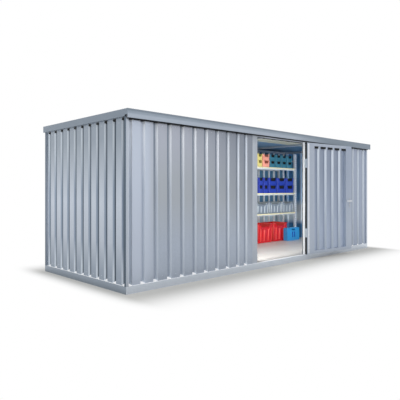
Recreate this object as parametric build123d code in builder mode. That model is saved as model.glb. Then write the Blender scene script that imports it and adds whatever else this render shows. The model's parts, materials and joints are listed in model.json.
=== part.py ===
from build123d import *
from math import cos, radians, sin
import os

# Portable site cabin of folded galvanised steel, with one hinged door standing open and a rack of
# storage boxes inside. Sizes are in millimetres. The origin is on the ground at the middle of the
# body's plan, +X runs along the front, -Y faces the front and +Z is up.

# Body
body_length = 6040
body_depth = 2092
sill_height = 90
roof_top = 2150
fascia_rise = 40

# Folded frame members
frame_steel = 3
sill_flange = 60
rail_depth = 70
rail_height = 50
post_leg = 34
post_lip = 14

# Wall sheets: a trapezoidal profile with narrow grooves between wide flats
sheet_steel = 1.2
sheet_inset = 15
groove_mouth = 72
groove_floor = 34
groove_depth = 35
sheet_end_inset = 22
end_pitch = 189.6
end_first = 76
front_pitch = 217.3
corner_first = 60
corner_pitch = 189
corner_groove_count = 2
main_first = 445
door_side_inset = 277
right_last = 163

# Doorway, measured along the front from its left end
door_left = 2423
door_width = 1309
header_height = 30
door_post_width = 110
door_post_steel = 2.5
door_post_fin = 36
fin_steel = 2
stop_reach = 16
stop_lap = 26
stop_steel = 2
joint_gap = 6
seat_gap = 0.3

# Roof
front_overhang = 58
side_overhang = 20
front_drop = 105
side_drop = 88
side_notch_drop = 70
fascia_steel = 2
fascia_lip = 14
fascia_foot = 16
fascia_inner = 42
roof_sheet_gap = 4
roof_pitch = 200
roof_rib_mouth = 70
roof_rib_top = 34
roof_rib_height = 30
bearer_width = 50
roof_bearer_height = 40
roof_bearer_count = 3

# Floor
deck_thick = 22
deck_rise = 5
deck_gap = 3
deck_panel_count = 4
floor_bearer_count = 9
bearer_flange_return = 12

# Door leaf: it shuts flush with the wall, inside the doorway and against the stops
open_angle = 173.5
leaf_gap = 5
leaf_thick = 40
leaf_lift = 8
leaf_steel = 2
hinge_stile_width = 200
lock_stile_width = 172
leaf_rail = 52
leaf_pitch = 204

# Hinges: the pin stands before the leaf's outer face
pin_inset = 14.4
low_hinge_inset = 370
high_hinge_inset = 358
hinge_height = 150
knuckle_radius = 8
knuckle_play = 1
pin_radius = 4
pin_clearance = 0.05
knuckle_gap = 0.5
hinge_plate = 4
hinge_plate_width = 50

# Lock and lever
lock_height = 1000
spindle_inset = 60
spindle_radius = 4.5
spindle_hole = 6
plate_width = 40
plate_height = 180
plate_thick = 3
plate_radius = 8
key_hole_drop = 72
key_hole_radius = 8.5
lever_neck_radius = 9
lever_reach = 52
lever_length = 132
lever_height = 20
lever_thick = 11
lever_edge = 3

# Rack
rack_end_gap = 330
rack_length = 2000
rack_depth = 500
rack_wall_gap = 20
rack_headroom = 50
upright_width = 45
upright_steel = 2
tie_width = 25
tie_levels_shares = (0.08, 0.36, 0.64, 0.92)
shelf_shares = (0.316, 0.5436, 0.833)
board_thick = 22
board_gap = 2
beam_height = 25
beam_depth = 30
beam_inset = 45

# Boxes on the rack and on the floor
box_taper = 2.5
box_wall = 3
box_rim = 16
box_rim_out = 4
box_gap = 5
box_stack_gap = 0.4
box_back_gap = 30
mouth_width_share = 0.64
bin_mouth_share = 0.42
tub_mouth_share = 0.14
top_row_inset = 101
layer_count = 2
small_box_height = 136
yellow_width = 176
orange_width = 240
orange_count = 1
teal_width = 209
teal_count = 4
blue_row_inset = 49
blue_height = 165
blue_narrow = 172
blue_wide = 310
tub_row_inset = 55
tub_width = 455
tub_height = 240
crate_width = 526
crate_depth = 400
crate_height = 395
crate_row_inset = 327
crate_forward = 34
case_end_inset = 92
case_width = 458
case_depth = 100
case_height = 280
case_corner = 24
hand_hole_width = 130
hand_hole_height = 34
hand_hole_drop = 44

# Cuts run this far past the faces that they open
overrun = 10

half_length = body_length / 2
half_depth = body_depth / 2
rail_top = roof_top - fascia_rise
wall_top = rail_top - rail_height
wall_height = wall_top - sill_height
deck_top = sill_height + deck_rise
deck_bottom = deck_top - deck_thick
door_x0 = door_left - half_length
door_x1 = door_x0 + door_width
door_head = wall_top - header_height
wall_face = half_depth - sheet_inset
sheet_back = sheet_inset + groove_depth + sheet_steel
leaf_swing = 180 - open_angle
door_post_depth = leaf_thick + leaf_gap
pin_out = knuckle_radius + knuckle_play + hinge_plate
hinge_x = door_x1 - leaf_gap - pin_inset
hinge_y = -wall_face - pin_out
leaf_start = hinge_plate - pin_inset
leaf_end = door_width - 2 * leaf_gap - pin_inset
leaf_bottom = sill_height + leaf_lift
leaf_top = door_head - leaf_gap
leaf_inner = pin_out + leaf_thick

SIDES = {"front": (0, -1), "rear": (0, 1), "left": (-1, 0), "right": (1, 0)}
CORNERS = {"front_left": (-1, -1), "front_right": (1, -1), "rear_left": (-1, 1), "rear_right": (1, 1)}
CORNER_TURNS = {"front_left": (1, 0), "front_right": (0, 1), "rear_right": (-1, 0), "rear_left": (0, -1)}

leaf_plane = Plane(
    origin=(hinge_x, hinge_y, 0),
    x_dir=(cos(radians(leaf_swing)), -sin(radians(leaf_swing)), 0),
    z_dir=(0, 0, 1),
)
spindle_place = leaf_end - spindle_inset
lock_plane = Plane(
    origin=leaf_plane.from_local_coords((spindle_place, 0, lock_height)),
    x_dir=leaf_plane.x_dir,
    z_dir=-leaf_plane.y_dir,
)

os.makedirs("parts", exist_ok=True)


def save(piece, name):
    """Label a finished piece and write it to its own file."""
    piece.label = name
    export_step(piece, f"parts/{name}.step")


def folded(path, steel):
    """Section of sheet steel folded along a path, the steel to the left of the way the path runs."""
    points = [Vector(*point) for point in path]
    runs = [(after - before).normalized() for before, after in zip(points, points[1:])]
    lefts = [Vector(-run.Y, run.X) for run in runs]
    shifts = [lefts[0]]
    shifts += [(one + two) / (1 + one.dot(two)) for one, two in zip(lefts, lefts[1:])]
    shifts += [lefts[-1]]
    inside = [point + shift * steel for point, shift in zip(points, shifts)]
    with BuildSketch() as section:
        with BuildLine():
            Polyline(*points, *reversed(inside), close=True)
        make_face()
    return section.sketch


def tube(width, depth, steel):
    """Section of a rectangular tube, centred."""
    with BuildSketch() as section:
        Rectangle(width, depth)
        Rectangle(width - 2 * steel, depth - 2 * steel, mode=Mode.SUBTRACT)
    return section.sketch


def side_plane(side):
    """Plane across one side of the body: its x runs outwards and its y runs up."""
    out_x, out_y = SIDES[side]
    return Plane(
        origin=(out_x * half_length, out_y * half_depth, 0),
        x_dir=(out_x, out_y, 0),
        z_dir=(out_y, -out_x, 0),
    )


def mitre(side, corner, reach, width):
    """Upright plane that cuts a side's member at a corner, with its front away from the member."""
    sign_x, sign_y = CORNERS[corner]
    end_x = "left" if sign_x < 0 else "right"
    end_y = "front" if sign_y < 0 else "rear"
    place = (sign_x * (half_length + reach[end_x]), sign_y * (half_depth + reach[end_y]), 0)
    diagonal = Vector(sign_x * width[end_x], sign_y * width[end_y], 0).normalized()
    away = Vector(sign_x, 0, 0) if side == end_y else Vector(0, sign_y, 0)
    normal = diagonal.cross(Vector(0, 0, 1))
    return Plane(origin=place, x_dir=diagonal, z_dir=normal if normal.dot(away) > 0 else -normal)


def ring_member(side, section, reach, width):
    """One side of a ring of members, mitred to its neighbours at both ends."""
    span = max(body_length, body_depth) / 2 + max(reach.values()) + overrun
    with BuildPart() as member:
        with BuildSketch(side_plane(side)):
            add(section)
        extrude(amount=span, both=True)
        for corner in CORNERS:
            if side in corner.split("_"):
                split(bisect_by=mitre(side, corner, reach, width), keep=Keep.BOTTOM)
    return member.part


def groove_path(start, end, centres, mouth, floor, depth):
    """Points of a grooved sheet from start to end, with each groove sunk to the given depth."""
    points = [(start, 0)]
    for centre in centres:
        points.append((centre - mouth / 2, 0))
        points.append((centre - floor / 2, depth))
        points.append((centre + floor / 2, depth))
        points.append((centre + mouth / 2, 0))
    points.append((end, 0))
    return points


def row(first, pitch, count):
    """Places of a row at one pitch."""
    return [first + pitch * index for index in range(count)]


def wall_sheet(side, start, end, centres):
    """Grooved wall sheet standing on the sill, set out along its side from the middle of that side."""
    out_x, out_y = SIDES[side]
    base = Plane(
        origin=(out_x * (half_length - sheet_inset), out_y * (half_depth - sheet_inset), sill_height),
        x_dir=(-out_y, out_x, 0),
        z_dir=(0, 0, 1),
    )
    path = groove_path(start, end, centres, groove_mouth, groove_floor, groove_depth)
    with BuildPart() as sheet:
        with BuildSketch(base):
            add(folded(path, sheet_steel))
        extrude(amount=wall_height)
    return sheet.part


# Base frame: four folded channels, mitred at the corners
no_reach = {side: 0 for side in SIDES}
sill_widths = {side: sill_flange for side in SIDES}
sill_section = folded(
    [(-sill_flange, 0), (0, 0), (0, sill_height), (-sill_flange, sill_height)],
    frame_steel,
)
for side in SIDES:
    save(ring_member(side, sill_section, no_reach, sill_widths), f"{side}_sill")

# Floor bearers: channels on the ground between the front and rear sills
bearer_run = body_length - 2 * sill_flange - bearer_width
bearer_pitch = bearer_run / (floor_bearer_count - 1)
bearer_half = bearer_width / 2
bearer_section = folded(
    [
        (bearer_half, bearer_flange_return),
        (bearer_half, 0),
        (-bearer_half, 0),
        (-bearer_half, deck_bottom),
        (bearer_half, deck_bottom),
    ],
    -frame_steel,
)
with BuildPart() as floor_bearers:
    for place in row(-bearer_run / 2, bearer_pitch, floor_bearer_count):
        with BuildSketch(Plane(origin=(place, 0, 0), x_dir=(1, 0, 0), z_dir=(0, -1, 0))):
            add(bearer_section)
    extrude(amount=half_depth - sill_flange, both=True)
save(floor_bearers.part, "floor_bearers")

# Floor deck: boards' joints lie over the bearers
deck_length = body_length - 2 * sill_flange - 2 * deck_gap
deck_depth = body_depth - 2 * sill_flange - 2 * deck_gap
panel_pitch = (deck_length + deck_gap) / deck_panel_count
with BuildPart() as floor_deck:
    with BuildSketch(Plane.XY.offset(deck_bottom)):
        with GridLocations(panel_pitch, 0, deck_panel_count, 1):
            Rectangle(panel_pitch - deck_gap, deck_depth)
    extrude(amount=deck_thick)
save(floor_deck.part, "floor_deck")

# Corner posts: folded angles with returned lips
post_section = folded(
    [(post_leg, post_lip), (post_leg, 0), (0, 0), (0, post_leg), (post_lip, post_leg)],
    -frame_steel,
)
with BuildPart() as corner_posts:
    for corner, (turn_x, turn_y) in CORNER_TURNS.items():
        sign_x, sign_y = CORNERS[corner]
        foot = Plane(
            origin=(sign_x * half_length, sign_y * half_depth, sill_height),
            x_dir=(turn_x, turn_y, 0),
            z_dir=(0, 0, 1),
        )
        with BuildSketch(foot):
            add(post_section)
    extrude(amount=wall_height)
save(corner_posts.part, "corner_posts")

# Wall sheets: the end walls and the rear wall have one pitch
end_reach = half_depth - sheet_end_inset
end_count = int((body_depth - 2 * end_first) // end_pitch) + 1
end_places = row(end_first - half_depth, end_pitch, end_count)
save(wall_sheet("right", -end_reach, end_reach, end_places), "right_wall")
save(wall_sheet("left", -end_reach, end_reach, [-place for place in reversed(end_places)]), "left_wall")
rear_reach = half_length - sheet_end_inset
rear_run = body_length - 2 * end_first
rear_count = round(rear_run / end_pitch) + 1
rear_places = row(end_first - half_length, rear_run / (rear_count - 1), rear_count)
save(wall_sheet("rear", -rear_reach, rear_reach, rear_places), "rear_wall")

# Front wall, beside the doorway
left_end = door_x0 - door_post_width - joint_gap
right_start = door_x1 + door_post_width + joint_gap
main_count = int((left_end + half_length - main_first - groove_mouth) // front_pitch)
left_places = (
    row(corner_first - half_length, corner_pitch, corner_groove_count)
    + row(main_first - half_length, front_pitch, main_count)
    + [door_x0 - door_side_inset]
)
right_run = half_length - right_last - right_start - groove_mouth / 2 - door_post_fin
right_count = int(right_run // front_pitch) + 1
right_places = row(half_length - right_last - front_pitch * (right_count - 1), front_pitch, right_count)
save(wall_sheet("front", -rear_reach, left_end, left_places), "front_wall_left")
save(wall_sheet("front", right_start, rear_reach, right_places), "front_wall_right")

# Door frame: two tube posts, each with a fin behind the wall sheet's edge, and a header; a stop on
# the back of each reaches into the doorway behind the leaf
post_middle = -wall_face + door_post_depth / 2
post_back = -wall_face + door_post_depth
fin_place = -wall_face + sheet_steel + seat_gap + fin_steel / 2
for name, jamb, way in (("door_post_left", door_x0, -1), ("door_post_right", door_x1, 1)):
    with BuildPart() as door_post:
        with BuildSketch(Plane.XY.offset(sill_height)):
            with Locations((jamb + way * door_post_width / 2, post_middle)):
                add(tube(door_post_width, door_post_depth, door_post_steel))
            with Locations((jamb + way * (door_post_width + door_post_fin / 2), fin_place)):
                Rectangle(door_post_fin, fin_steel)
            with Locations((jamb + way * (stop_lap - stop_reach) / 2, post_back)):
                Rectangle(stop_lap + stop_reach, stop_steel, align=(Align.CENTER, Align.MIN))
        extrude(amount=wall_height)
    save(door_post.part, name)

with BuildPart() as door_header:
    with BuildSketch(Plane.YZ.offset(door_x0)):
        with Locations((post_middle, door_head + header_height / 2)):
            add(tube(door_post_depth, header_height, door_post_steel))
    extrude(amount=door_width)
    with BuildSketch(Plane.YZ.offset(door_x0 + stop_reach + seat_gap)):
        with Locations((post_back, wall_top)):
            Rectangle(stop_steel, header_height + stop_reach, align=(Align.MIN, Align.MAX))
    extrude(amount=door_width - 2 * (stop_reach + seat_gap))
save(door_header.part, "door_header")

# Top rails: a mitred ring of tubes on the posts and the wall sheets
rail_widths = {side: rail_depth for side in SIDES}
with BuildSketch() as rail_section:
    with Locations((-rail_depth / 2, wall_top + rail_height / 2)):
        add(tube(rail_depth, rail_height, frame_steel))
for side in SIDES:
    save(ring_member(side, rail_section.sketch, no_reach, rail_widths), f"{side}_top_rail")

# Roof bearers across the cabin, level with the top of the rails
with BuildPart() as roof_bearers:
    for place in row(-half_length / 2, half_length / 2, roof_bearer_count):
        with BuildSketch(Plane.XZ):
            with Locations((place, rail_top - roof_bearer_height / 2)):
                add(tube(bearer_width, roof_bearer_height, frame_steel))
    extrude(amount=half_depth - rail_depth, both=True)
save(roof_bearers.part, "roof_bearers")

# Roof sheet: ribs run the length of the cabin
roof_half_depth = half_depth - fascia_inner - roof_sheet_gap
roof_half_length = half_length - fascia_inner - roof_sheet_gap
rib_count = int((2 * roof_half_depth - roof_rib_mouth) // roof_pitch)
rib_places = row(-roof_pitch * (rib_count - 1) / 2, roof_pitch, rib_count)
roof_path = groove_path(
    -roof_half_depth, roof_half_depth, rib_places, roof_rib_mouth, roof_rib_top, roof_rib_height,
)
with BuildPart() as roof_sheet:
    with BuildSketch(Plane.YZ):
        with Locations((0, rail_top)):
            add(folded(roof_path, sheet_steel))
    extrude(amount=roof_half_length, both=True)
save(roof_sheet.part, "roof_sheet")

# Fascia: a folded cap that stands on the rails and hangs down outside the walls; at the ends it is
# cut away under the front overhang
fascia_reach = {side: side_overhang for side in SIDES} | {"front": front_overhang}
fascia_widths = {side: fascia_reach[side] + fascia_inner for side in SIDES}
fascia_drops = {side: side_drop for side in SIDES} | {"front": front_drop}
for side in SIDES:
    reach = fascia_reach[side]
    fascia_low = roof_top - fascia_drops[side]
    fascia_section = folded(
        [
            (reach - fascia_lip, fascia_low),
            (reach, fascia_low),
            (reach, roof_top),
            (-fascia_inner, roof_top),
            (-fascia_inner, rail_top),
            (fascia_foot - fascia_inner, rail_top),
        ],
        fascia_steel,
    )
    with BuildPart() as fascia:
        add(ring_member(side, fascia_section, fascia_reach, fascia_widths))
        if side in ("left", "right"):
            end_x = SIDES[side][0] * (half_length + side_overhang)
            with Locations((end_x, -half_depth, roof_top - side_notch_drop)):
                Box(
                    2 * (fascia_lip + overrun),
                    front_overhang,
                    front_drop,
                    align=(Align.CENTER, Align.MAX, Align.MAX),
                    mode=Mode.SUBTRACT,
                )
    save(fascia.part, f"{side}_fascia")

# Door leaf: two wide folded stiles and two rails round a grooved sheet
leaf_height = leaf_top - leaf_bottom
leaf_middle = -(pin_out + leaf_inner) / 2
hinge_stile_end = leaf_start + hinge_stile_width
lock_stile_start = leaf_end - lock_stile_width
infill_width = lock_stile_start - hinge_stile_end
for name, start, width in (
    ("door_hinge_stile", leaf_start, hinge_stile_width),
    ("door_lock_stile", lock_stile_start, lock_stile_width),
):
    with BuildPart() as stile:
        with BuildSketch(leaf_plane.offset(leaf_bottom)):
            with Locations((start + width / 2, leaf_middle)):
                add(tube(width, leaf_thick, leaf_steel))
        extrude(amount=leaf_height)
        with BuildSketch(lock_plane.offset(pin_out - overrun)):
            Circle(spindle_hole)
        extrude(amount=leaf_thick + 2 * overrun, mode=Mode.SUBTRACT)
    save(stile.part, name)

with BuildPart() as door_rails:
    for low in (leaf_bottom, leaf_top - leaf_rail):
        rail_end = Plane(
            origin=leaf_plane.from_local_coords((hinge_stile_end, leaf_middle, low + leaf_rail / 2)),
            x_dir=leaf_plane.y_dir,
            z_dir=leaf_plane.x_dir,
        )
        with BuildSketch(rail_end):
            add(tube(leaf_thick, leaf_rail, leaf_steel))
    extrude(amount=infill_width)
save(door_rails.part, "door_rails")

leaf_rib_count = int(infill_width // leaf_pitch)
leaf_first_rib = (hinge_stile_end + lock_stile_start - leaf_pitch * (leaf_rib_count - 1)) / 2
leaf_path = groove_path(
    hinge_stile_end,
    lock_stile_start,
    row(leaf_first_rib, leaf_pitch, leaf_rib_count),
    groove_mouth,
    groove_floor,
    -groove_depth,
)
with BuildPart() as door_sheet:
    with BuildSketch(leaf_plane.offset(leaf_bottom + leaf_rail)):
        with Locations((0, -pin_out)):
            add(folded(leaf_path, -sheet_steel))
    extrude(amount=leaf_height - 2 * leaf_rail)
save(door_sheet.part, "door_sheet")

# Hinges: the post's half is a plate on the post with an arm to two knuckles and the pin; the leaf's
# half is an angle round the leaf's outer edge, with the middle knuckle
knuckle = hinge_height / 3
hinge_heights = (leaf_bottom + low_hinge_inset, leaf_top - high_hinge_inset)
arm_run = leaf_gap + pin_inset + hinge_plate
with BuildPart() as hinge_post_halves:
    for height in hinge_heights:
        low = height - hinge_height / 2
        with BuildSketch(Plane.XY.offset(low)):
            with Locations((door_x1, -wall_face)):
                Rectangle(hinge_plate_width, hinge_plate, align=(Align.MIN, Align.MAX))
        extrude(amount=hinge_height)
        for knuckle_low in (low, low + 2 * knuckle):
            with BuildSketch(Plane.XY.offset(knuckle_low)):
                with Locations((hinge_x, hinge_y)):
                    Circle(knuckle_radius)
                    Rectangle(arm_run, hinge_plate, align=(Align.MIN, Align.CENTER))
                with Locations((door_x1, -wall_face)):
                    Rectangle(hinge_plate, pin_out + hinge_plate / 2, align=(Align.MIN, Align.MAX))
            extrude(amount=knuckle)
        with BuildSketch(Plane.XY.offset(low)):
            with Locations((hinge_x, hinge_y)):
                Circle(pin_radius)
        extrude(amount=hinge_height)
save(hinge_post_halves.part, "hinge_post_halves")

with BuildPart() as hinge_leaf_halves:
    for height in hinge_heights:
        low = height - hinge_height / 2
        with BuildSketch(leaf_plane.offset(low)):
            with Locations((-pin_inset, hinge_plate - pin_out)):
                Rectangle(hinge_plate_width, hinge_plate, align=(Align.MIN, Align.MAX))
                Rectangle(hinge_plate, leaf_thick + hinge_plate, align=(Align.MIN, Align.MAX))
        extrude(amount=hinge_height)
        with BuildSketch(leaf_plane.offset(low + knuckle + knuckle_gap)):
            Circle(knuckle_radius)
            Rectangle(hinge_plate, pin_out, align=(Align.CENTER, Align.MAX))
            Circle(pin_radius + pin_clearance, mode=Mode.SUBTRACT)
        extrude(amount=knuckle - 2 * knuckle_gap)
save(hinge_leaf_halves.part, "hinge_leaf_halves")

# Lock plates on both faces of the leaf, and a pair of levers on one spindle through them
with BuildPart() as lock_plates:
    for face in (leaf_inner, pin_out - plate_thick):
        with BuildSketch(lock_plane.offset(face)):
            with Locations((0, -key_hole_drop / 2)):
                RectangleRounded(plate_width, plate_height, plate_radius)
            Circle(lever_neck_radius + pin_clearance, mode=Mode.SUBTRACT)
            with Locations((0, -key_hole_drop)):
                Circle(key_hole_radius, mode=Mode.SUBTRACT)
        extrude(amount=plate_thick)
save(lock_plates.part, "lock_plates")

with BuildPart() as lever_pair:
    with BuildSketch(lock_plane.offset(pin_out)):
        Circle(spindle_radius)
    extrude(amount=leaf_thick)
    for face, way in ((leaf_inner, 1), (pin_out, -1)):
        with BuildSketch(lock_plane.offset(face)):
            Circle(lever_neck_radius)
        extrude(amount=way * (lever_reach - lever_thick))
        with BuildSketch(lock_plane.offset(face + way * (lever_reach - lever_thick))):
            with Locations((-lever_length / 2, 0)):
                SlotCenterToCenter(lever_length, lever_height)
        extrude(amount=way * lever_thick)
    spindle_axis = Axis(lock_plane.origin, lock_plane.z_dir)
    grip_faces = lever_pair.faces().sort_by(spindle_axis)
    for grip_face in (grip_faces[0], grip_faces[-1]):
        chamfer(grip_face.edges(), lever_edge)
save(lever_pair.part, "lever_pair")

# Rack: two end frames, beams and boards, standing on the deck along the rear wall
rack_rear = half_depth - sheet_back - rack_wall_gap
rack_front = rack_rear - rack_depth
rack_middle = (rack_front + rack_rear) / 2
rack_right = half_length - rack_end_gap
rack_left = rack_right - rack_length
rack_height = wall_top - rack_headroom - deck_top
shelf_heights = [deck_top + share * rack_height for share in shelf_shares]
tie_run = rack_depth - 2 * upright_width
frame_places = (rack_left + upright_width / 2, rack_right - upright_width / 2)
with BuildPart() as rack_end_frames:
    with BuildSketch(Plane.XY.offset(deck_top)):
        for place in frame_places:
            for edge in (rack_front + upright_width / 2, rack_rear - upright_width / 2):
                with Locations((place, edge)):
                    add(tube(upright_width, upright_width, upright_steel))
    extrude(amount=rack_height)
    with BuildSketch(Plane.XZ.offset(-rack_front - upright_width)):
        for place in frame_places:
            for share in tie_levels_shares:
                with Locations((place, deck_top + share * rack_height)):
                    Rectangle(tie_width, tie_width)
    extrude(amount=-tie_run)
save(rack_end_frames.part, "rack_end_frames")

beam_start = rack_left + upright_width
beam_run = rack_length - 2 * upright_width
with BuildPart() as rack_beams:
    for shelf in shelf_heights:
        with BuildSketch(Plane.YZ.offset(beam_start)):
            for place in (
                rack_front + beam_inset + beam_depth / 2,
                rack_rear - beam_inset - beam_depth / 2,
            ):
                with Locations((place, shelf - board_thick - beam_height / 2)):
                    add(tube(beam_depth, beam_height, upright_steel))
        extrude(amount=beam_run)
save(rack_beams.part, "rack_beams")

with BuildPart() as rack_boards:
    for shelf in shelf_heights:
        with BuildSketch(Plane.XY.offset(shelf - board_thick)):
            with Locations((beam_start + beam_run / 2, rack_middle)):
                Rectangle(beam_run - 2 * board_gap, rack_depth)
        extrude(amount=board_thick)
save(rack_boards.part, "rack_boards")


def storage_box(width, depth, height, mouth_share):
    """Open box with tapered walls, a rim that carries the next box and a mouth cut in its front."""
    draw_in = height * sin(radians(box_taper))
    foot_width = width - 2 * (box_rim_out + draw_in)
    foot_depth = depth - 2 * (box_rim_out + draw_in)
    with BuildPart() as box:
        with BuildSketch():
            Rectangle(foot_width, foot_depth)
        extrude(amount=height, taper=-box_taper)
        with BuildSketch(Plane.XY.offset(height - box_rim)):
            Rectangle(width, depth)
        extrude(amount=box_rim)
        with BuildSketch(Plane.XY.offset(box_wall)):
            Rectangle(foot_width - 2 * box_wall, foot_depth - 2 * box_wall)
        extrude(amount=height, mode=Mode.SUBTRACT)
        with BuildSketch(Plane.XZ):
            with Locations((0, height)):
                Rectangle(mouth_width_share * width, 2 * mouth_share * height)
        extrude(amount=depth, mode=Mode.SUBTRACT)
    return box.part


def box_rows(name, end, widths, front, depth, base, height, layers, mouth_share):
    """Node of like boxes side by side, laid leftwards from the row's right end in one or more layers."""
    middle = front + depth / 2
    with BuildPart() as group:
        edge = end
        for width in widths:
            box = storage_box(width - box_gap, depth, height, mouth_share)
            for low in row(base, height + box_stack_gap, layers):
                with Locations((edge - width / 2, middle, low)):
                    add(box)
            edge -= width
    save(group.part, name)


def filled(width, end):
    """Widths of as many like boxes as fit between the rack's left frame and a row's right end."""
    return [width] * int((end - beam_start) // width)


# Boxes: rows on the shelves, crates on the floor and a case before the rack's right foot
shelf_depth = rack_depth - box_back_gap
low_shelf, middle_shelf, top_shelf = shelf_heights
beam_end = beam_start + beam_run
teal_end = beam_end - top_row_inset
orange_end = teal_end - teal_width * teal_count
yellow_end = orange_end - orange_width * orange_count
blue_end = beam_end - blue_row_inset
blue_pattern = [blue_wide, blue_wide, blue_wide, blue_narrow, blue_narrow, blue_wide, blue_narrow]
blue_edges = [blue_end - sum(blue_pattern[: index + 1]) for index in range(len(blue_pattern))]
blue_widths = [width for width, edge in zip(blue_pattern, blue_edges) if edge >= beam_start]
for name, end, widths, shelf, height in (
    ("teal_boxes", teal_end, [teal_width] * teal_count, top_shelf, small_box_height),
    ("orange_boxes", orange_end, [orange_width] * orange_count, top_shelf, small_box_height),
    ("yellow_boxes", yellow_end, filled(yellow_width, yellow_end), top_shelf, small_box_height),
    ("blue_boxes", blue_end, blue_widths, middle_shelf, blue_height),
):
    box_rows(name, end, widths, rack_front, shelf_depth, shelf, height, layer_count, bin_mouth_share)

tub_end = beam_end - tub_row_inset
crate_front = rack_front - crate_forward
crate_end = beam_end - crate_row_inset
for name, end, width, front, depth, base, height in (
    ("grey_tubs", tub_end, tub_width, rack_front, shelf_depth, low_shelf, tub_height),
    ("red_crates", crate_end, crate_width, crate_front, crate_depth, deck_top, crate_height),
):
    box_rows(name, end, filled(width, end), front, depth, base, height, 1, tub_mouth_share)

# Case: it stands on its long edge before the rack, with its hand hole up
case_middle = rack_right - case_end_inset - case_width / 2
with BuildPart() as blue_case:
    with BuildSketch(Plane.XZ.offset(box_gap - crate_front)):
        with Locations((case_middle, deck_top + case_height / 2)):
            RectangleRounded(case_width, case_height, case_corner)
        with Locations((case_middle, deck_top + case_height - hand_hole_drop)):
            SlotOverall(hand_hole_width, hand_hole_height, mode=Mode.SUBTRACT)
    extrude(amount=case_depth)
save(blue_case.part, "blue_case")
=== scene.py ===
"""Looks of a portable site cabin of folded galvanised steel, with its door standing open on a rack of bins.

Every class is one sub-assembly or one finish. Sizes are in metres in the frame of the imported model:
+X runs along the front, -Y faces the front and +Z is up.
"""

import json
import logging
import math
from collections.abc import Sequence
from dataclasses import dataclass, field
from enum import Enum

import bmesh
import bpy
import numpy as np
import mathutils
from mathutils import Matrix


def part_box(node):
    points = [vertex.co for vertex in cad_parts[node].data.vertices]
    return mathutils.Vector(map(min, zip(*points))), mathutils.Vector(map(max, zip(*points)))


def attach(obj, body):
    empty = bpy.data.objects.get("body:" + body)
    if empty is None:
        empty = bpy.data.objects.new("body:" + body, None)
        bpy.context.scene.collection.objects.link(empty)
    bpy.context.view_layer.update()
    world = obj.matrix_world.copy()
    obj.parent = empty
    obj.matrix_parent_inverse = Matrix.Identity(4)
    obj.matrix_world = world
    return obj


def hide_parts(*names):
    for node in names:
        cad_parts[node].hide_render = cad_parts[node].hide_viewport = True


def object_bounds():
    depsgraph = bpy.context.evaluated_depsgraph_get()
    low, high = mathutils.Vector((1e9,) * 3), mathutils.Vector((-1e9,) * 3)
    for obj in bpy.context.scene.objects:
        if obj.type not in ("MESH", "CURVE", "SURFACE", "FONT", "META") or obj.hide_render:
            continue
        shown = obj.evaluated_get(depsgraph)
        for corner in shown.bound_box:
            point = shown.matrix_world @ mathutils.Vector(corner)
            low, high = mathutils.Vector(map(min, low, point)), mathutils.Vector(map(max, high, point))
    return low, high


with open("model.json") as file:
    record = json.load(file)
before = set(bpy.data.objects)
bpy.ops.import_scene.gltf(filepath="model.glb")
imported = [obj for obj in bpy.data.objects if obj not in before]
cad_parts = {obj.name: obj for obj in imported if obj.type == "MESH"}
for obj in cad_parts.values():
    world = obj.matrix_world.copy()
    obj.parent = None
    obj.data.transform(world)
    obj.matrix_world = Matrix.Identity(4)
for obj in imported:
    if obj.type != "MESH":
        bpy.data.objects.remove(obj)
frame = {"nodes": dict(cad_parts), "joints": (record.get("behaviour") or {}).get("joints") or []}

CAD_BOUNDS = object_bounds()
LOG = logging.getLogger("site_cabin")
MM = 0.001
SAME_PLACE = 1e-6  # points nearer than this are one
SHARP_FOLD = math.radians(35)  # folds sharper than this keep a hard edge
CORNER_STEPS = 4  # points on each round corner
DOME_STEPS = 5  # points up a screw's dome
HEAD_SIDES = 12  # facets round a screw's head

Vector = tuple[float, float, float]
Tree = bpy.types.NodeTree
Socket = bpy.types.NodeSocket

ORIGIN: Vector = (0.0, 0.0, 0.0)
TO_FRONT: Vector = (0.0, -1.0, 0.0)
TO_REAR: Vector = (0.0, 1.0, 0.0)
TO_LEFT: Vector = (-1.0, 0.0, 0.0)
TO_RIGHT: Vector = (1.0, 0.0, 0.0)
TO_TOP: Vector = (0.0, 0.0, 1.0)
TO_RIGHT_TOP: Vector = (1.0, 0.0, 0.8)
TO_REAR_LEFT: Vector = (-0.1, 1.0, 0.0)
TO_FRONT_LOW: Vector = (0.0, -1.0, -0.008)
UP = np.array(TO_TOP)


class Body(Enum):
    """The bodies that new pieces ride on."""

    CABIN = "cabin"
    DOOR = "door"


class Wall(Enum):
    """A side of the cabin, as its outward direction."""

    FRONT = TO_FRONT
    REAR = TO_REAR
    LEFT = TO_LEFT
    RIGHT = TO_RIGHT

    @property
    def out(self) -> np.ndarray:
        """Outward direction."""
        return np.array(self.value)

    @property
    def along(self) -> np.ndarray:
        """Level direction along the wall, to the right for someone who faces it from outside."""
        return np.array([-self.value[1], self.value[0], 0.0])

    @property
    def facing(self) -> np.ndarray:
        """Axes of a piece on the wall's face: x along the wall, y up and z off the face."""
        return np.array([self.along, UP, self.out])

    @property
    def standing(self) -> np.ndarray:
        """Axes of an upright piece: x along the wall, y into it and z up."""
        return np.array([self.along, -self.out, UP])


SIDES = tuple(wall.name.lower() for wall in Wall)


def linear(colour: str) -> tuple[float, float, float, float]:
    """Turn an sRGB hex colour to linear values, by the standard curve: ((c + 0.055) / 1.055) ^ 2.4.

    Args:
        colour: Hex colour such as "#a0a8b4".

    Returns:
        Linear red, green and blue, and an alpha of one.
    """
    parts = np.array([int(colour[place:place + 2], 16) for place in (1, 3, 5)]) / 255.0
    values = np.where(parts <= 0.04045, parts / 12.92, ((parts + 0.055) / 1.055) ** 2.4)
    return (*values.tolist(), 1.0)


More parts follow.
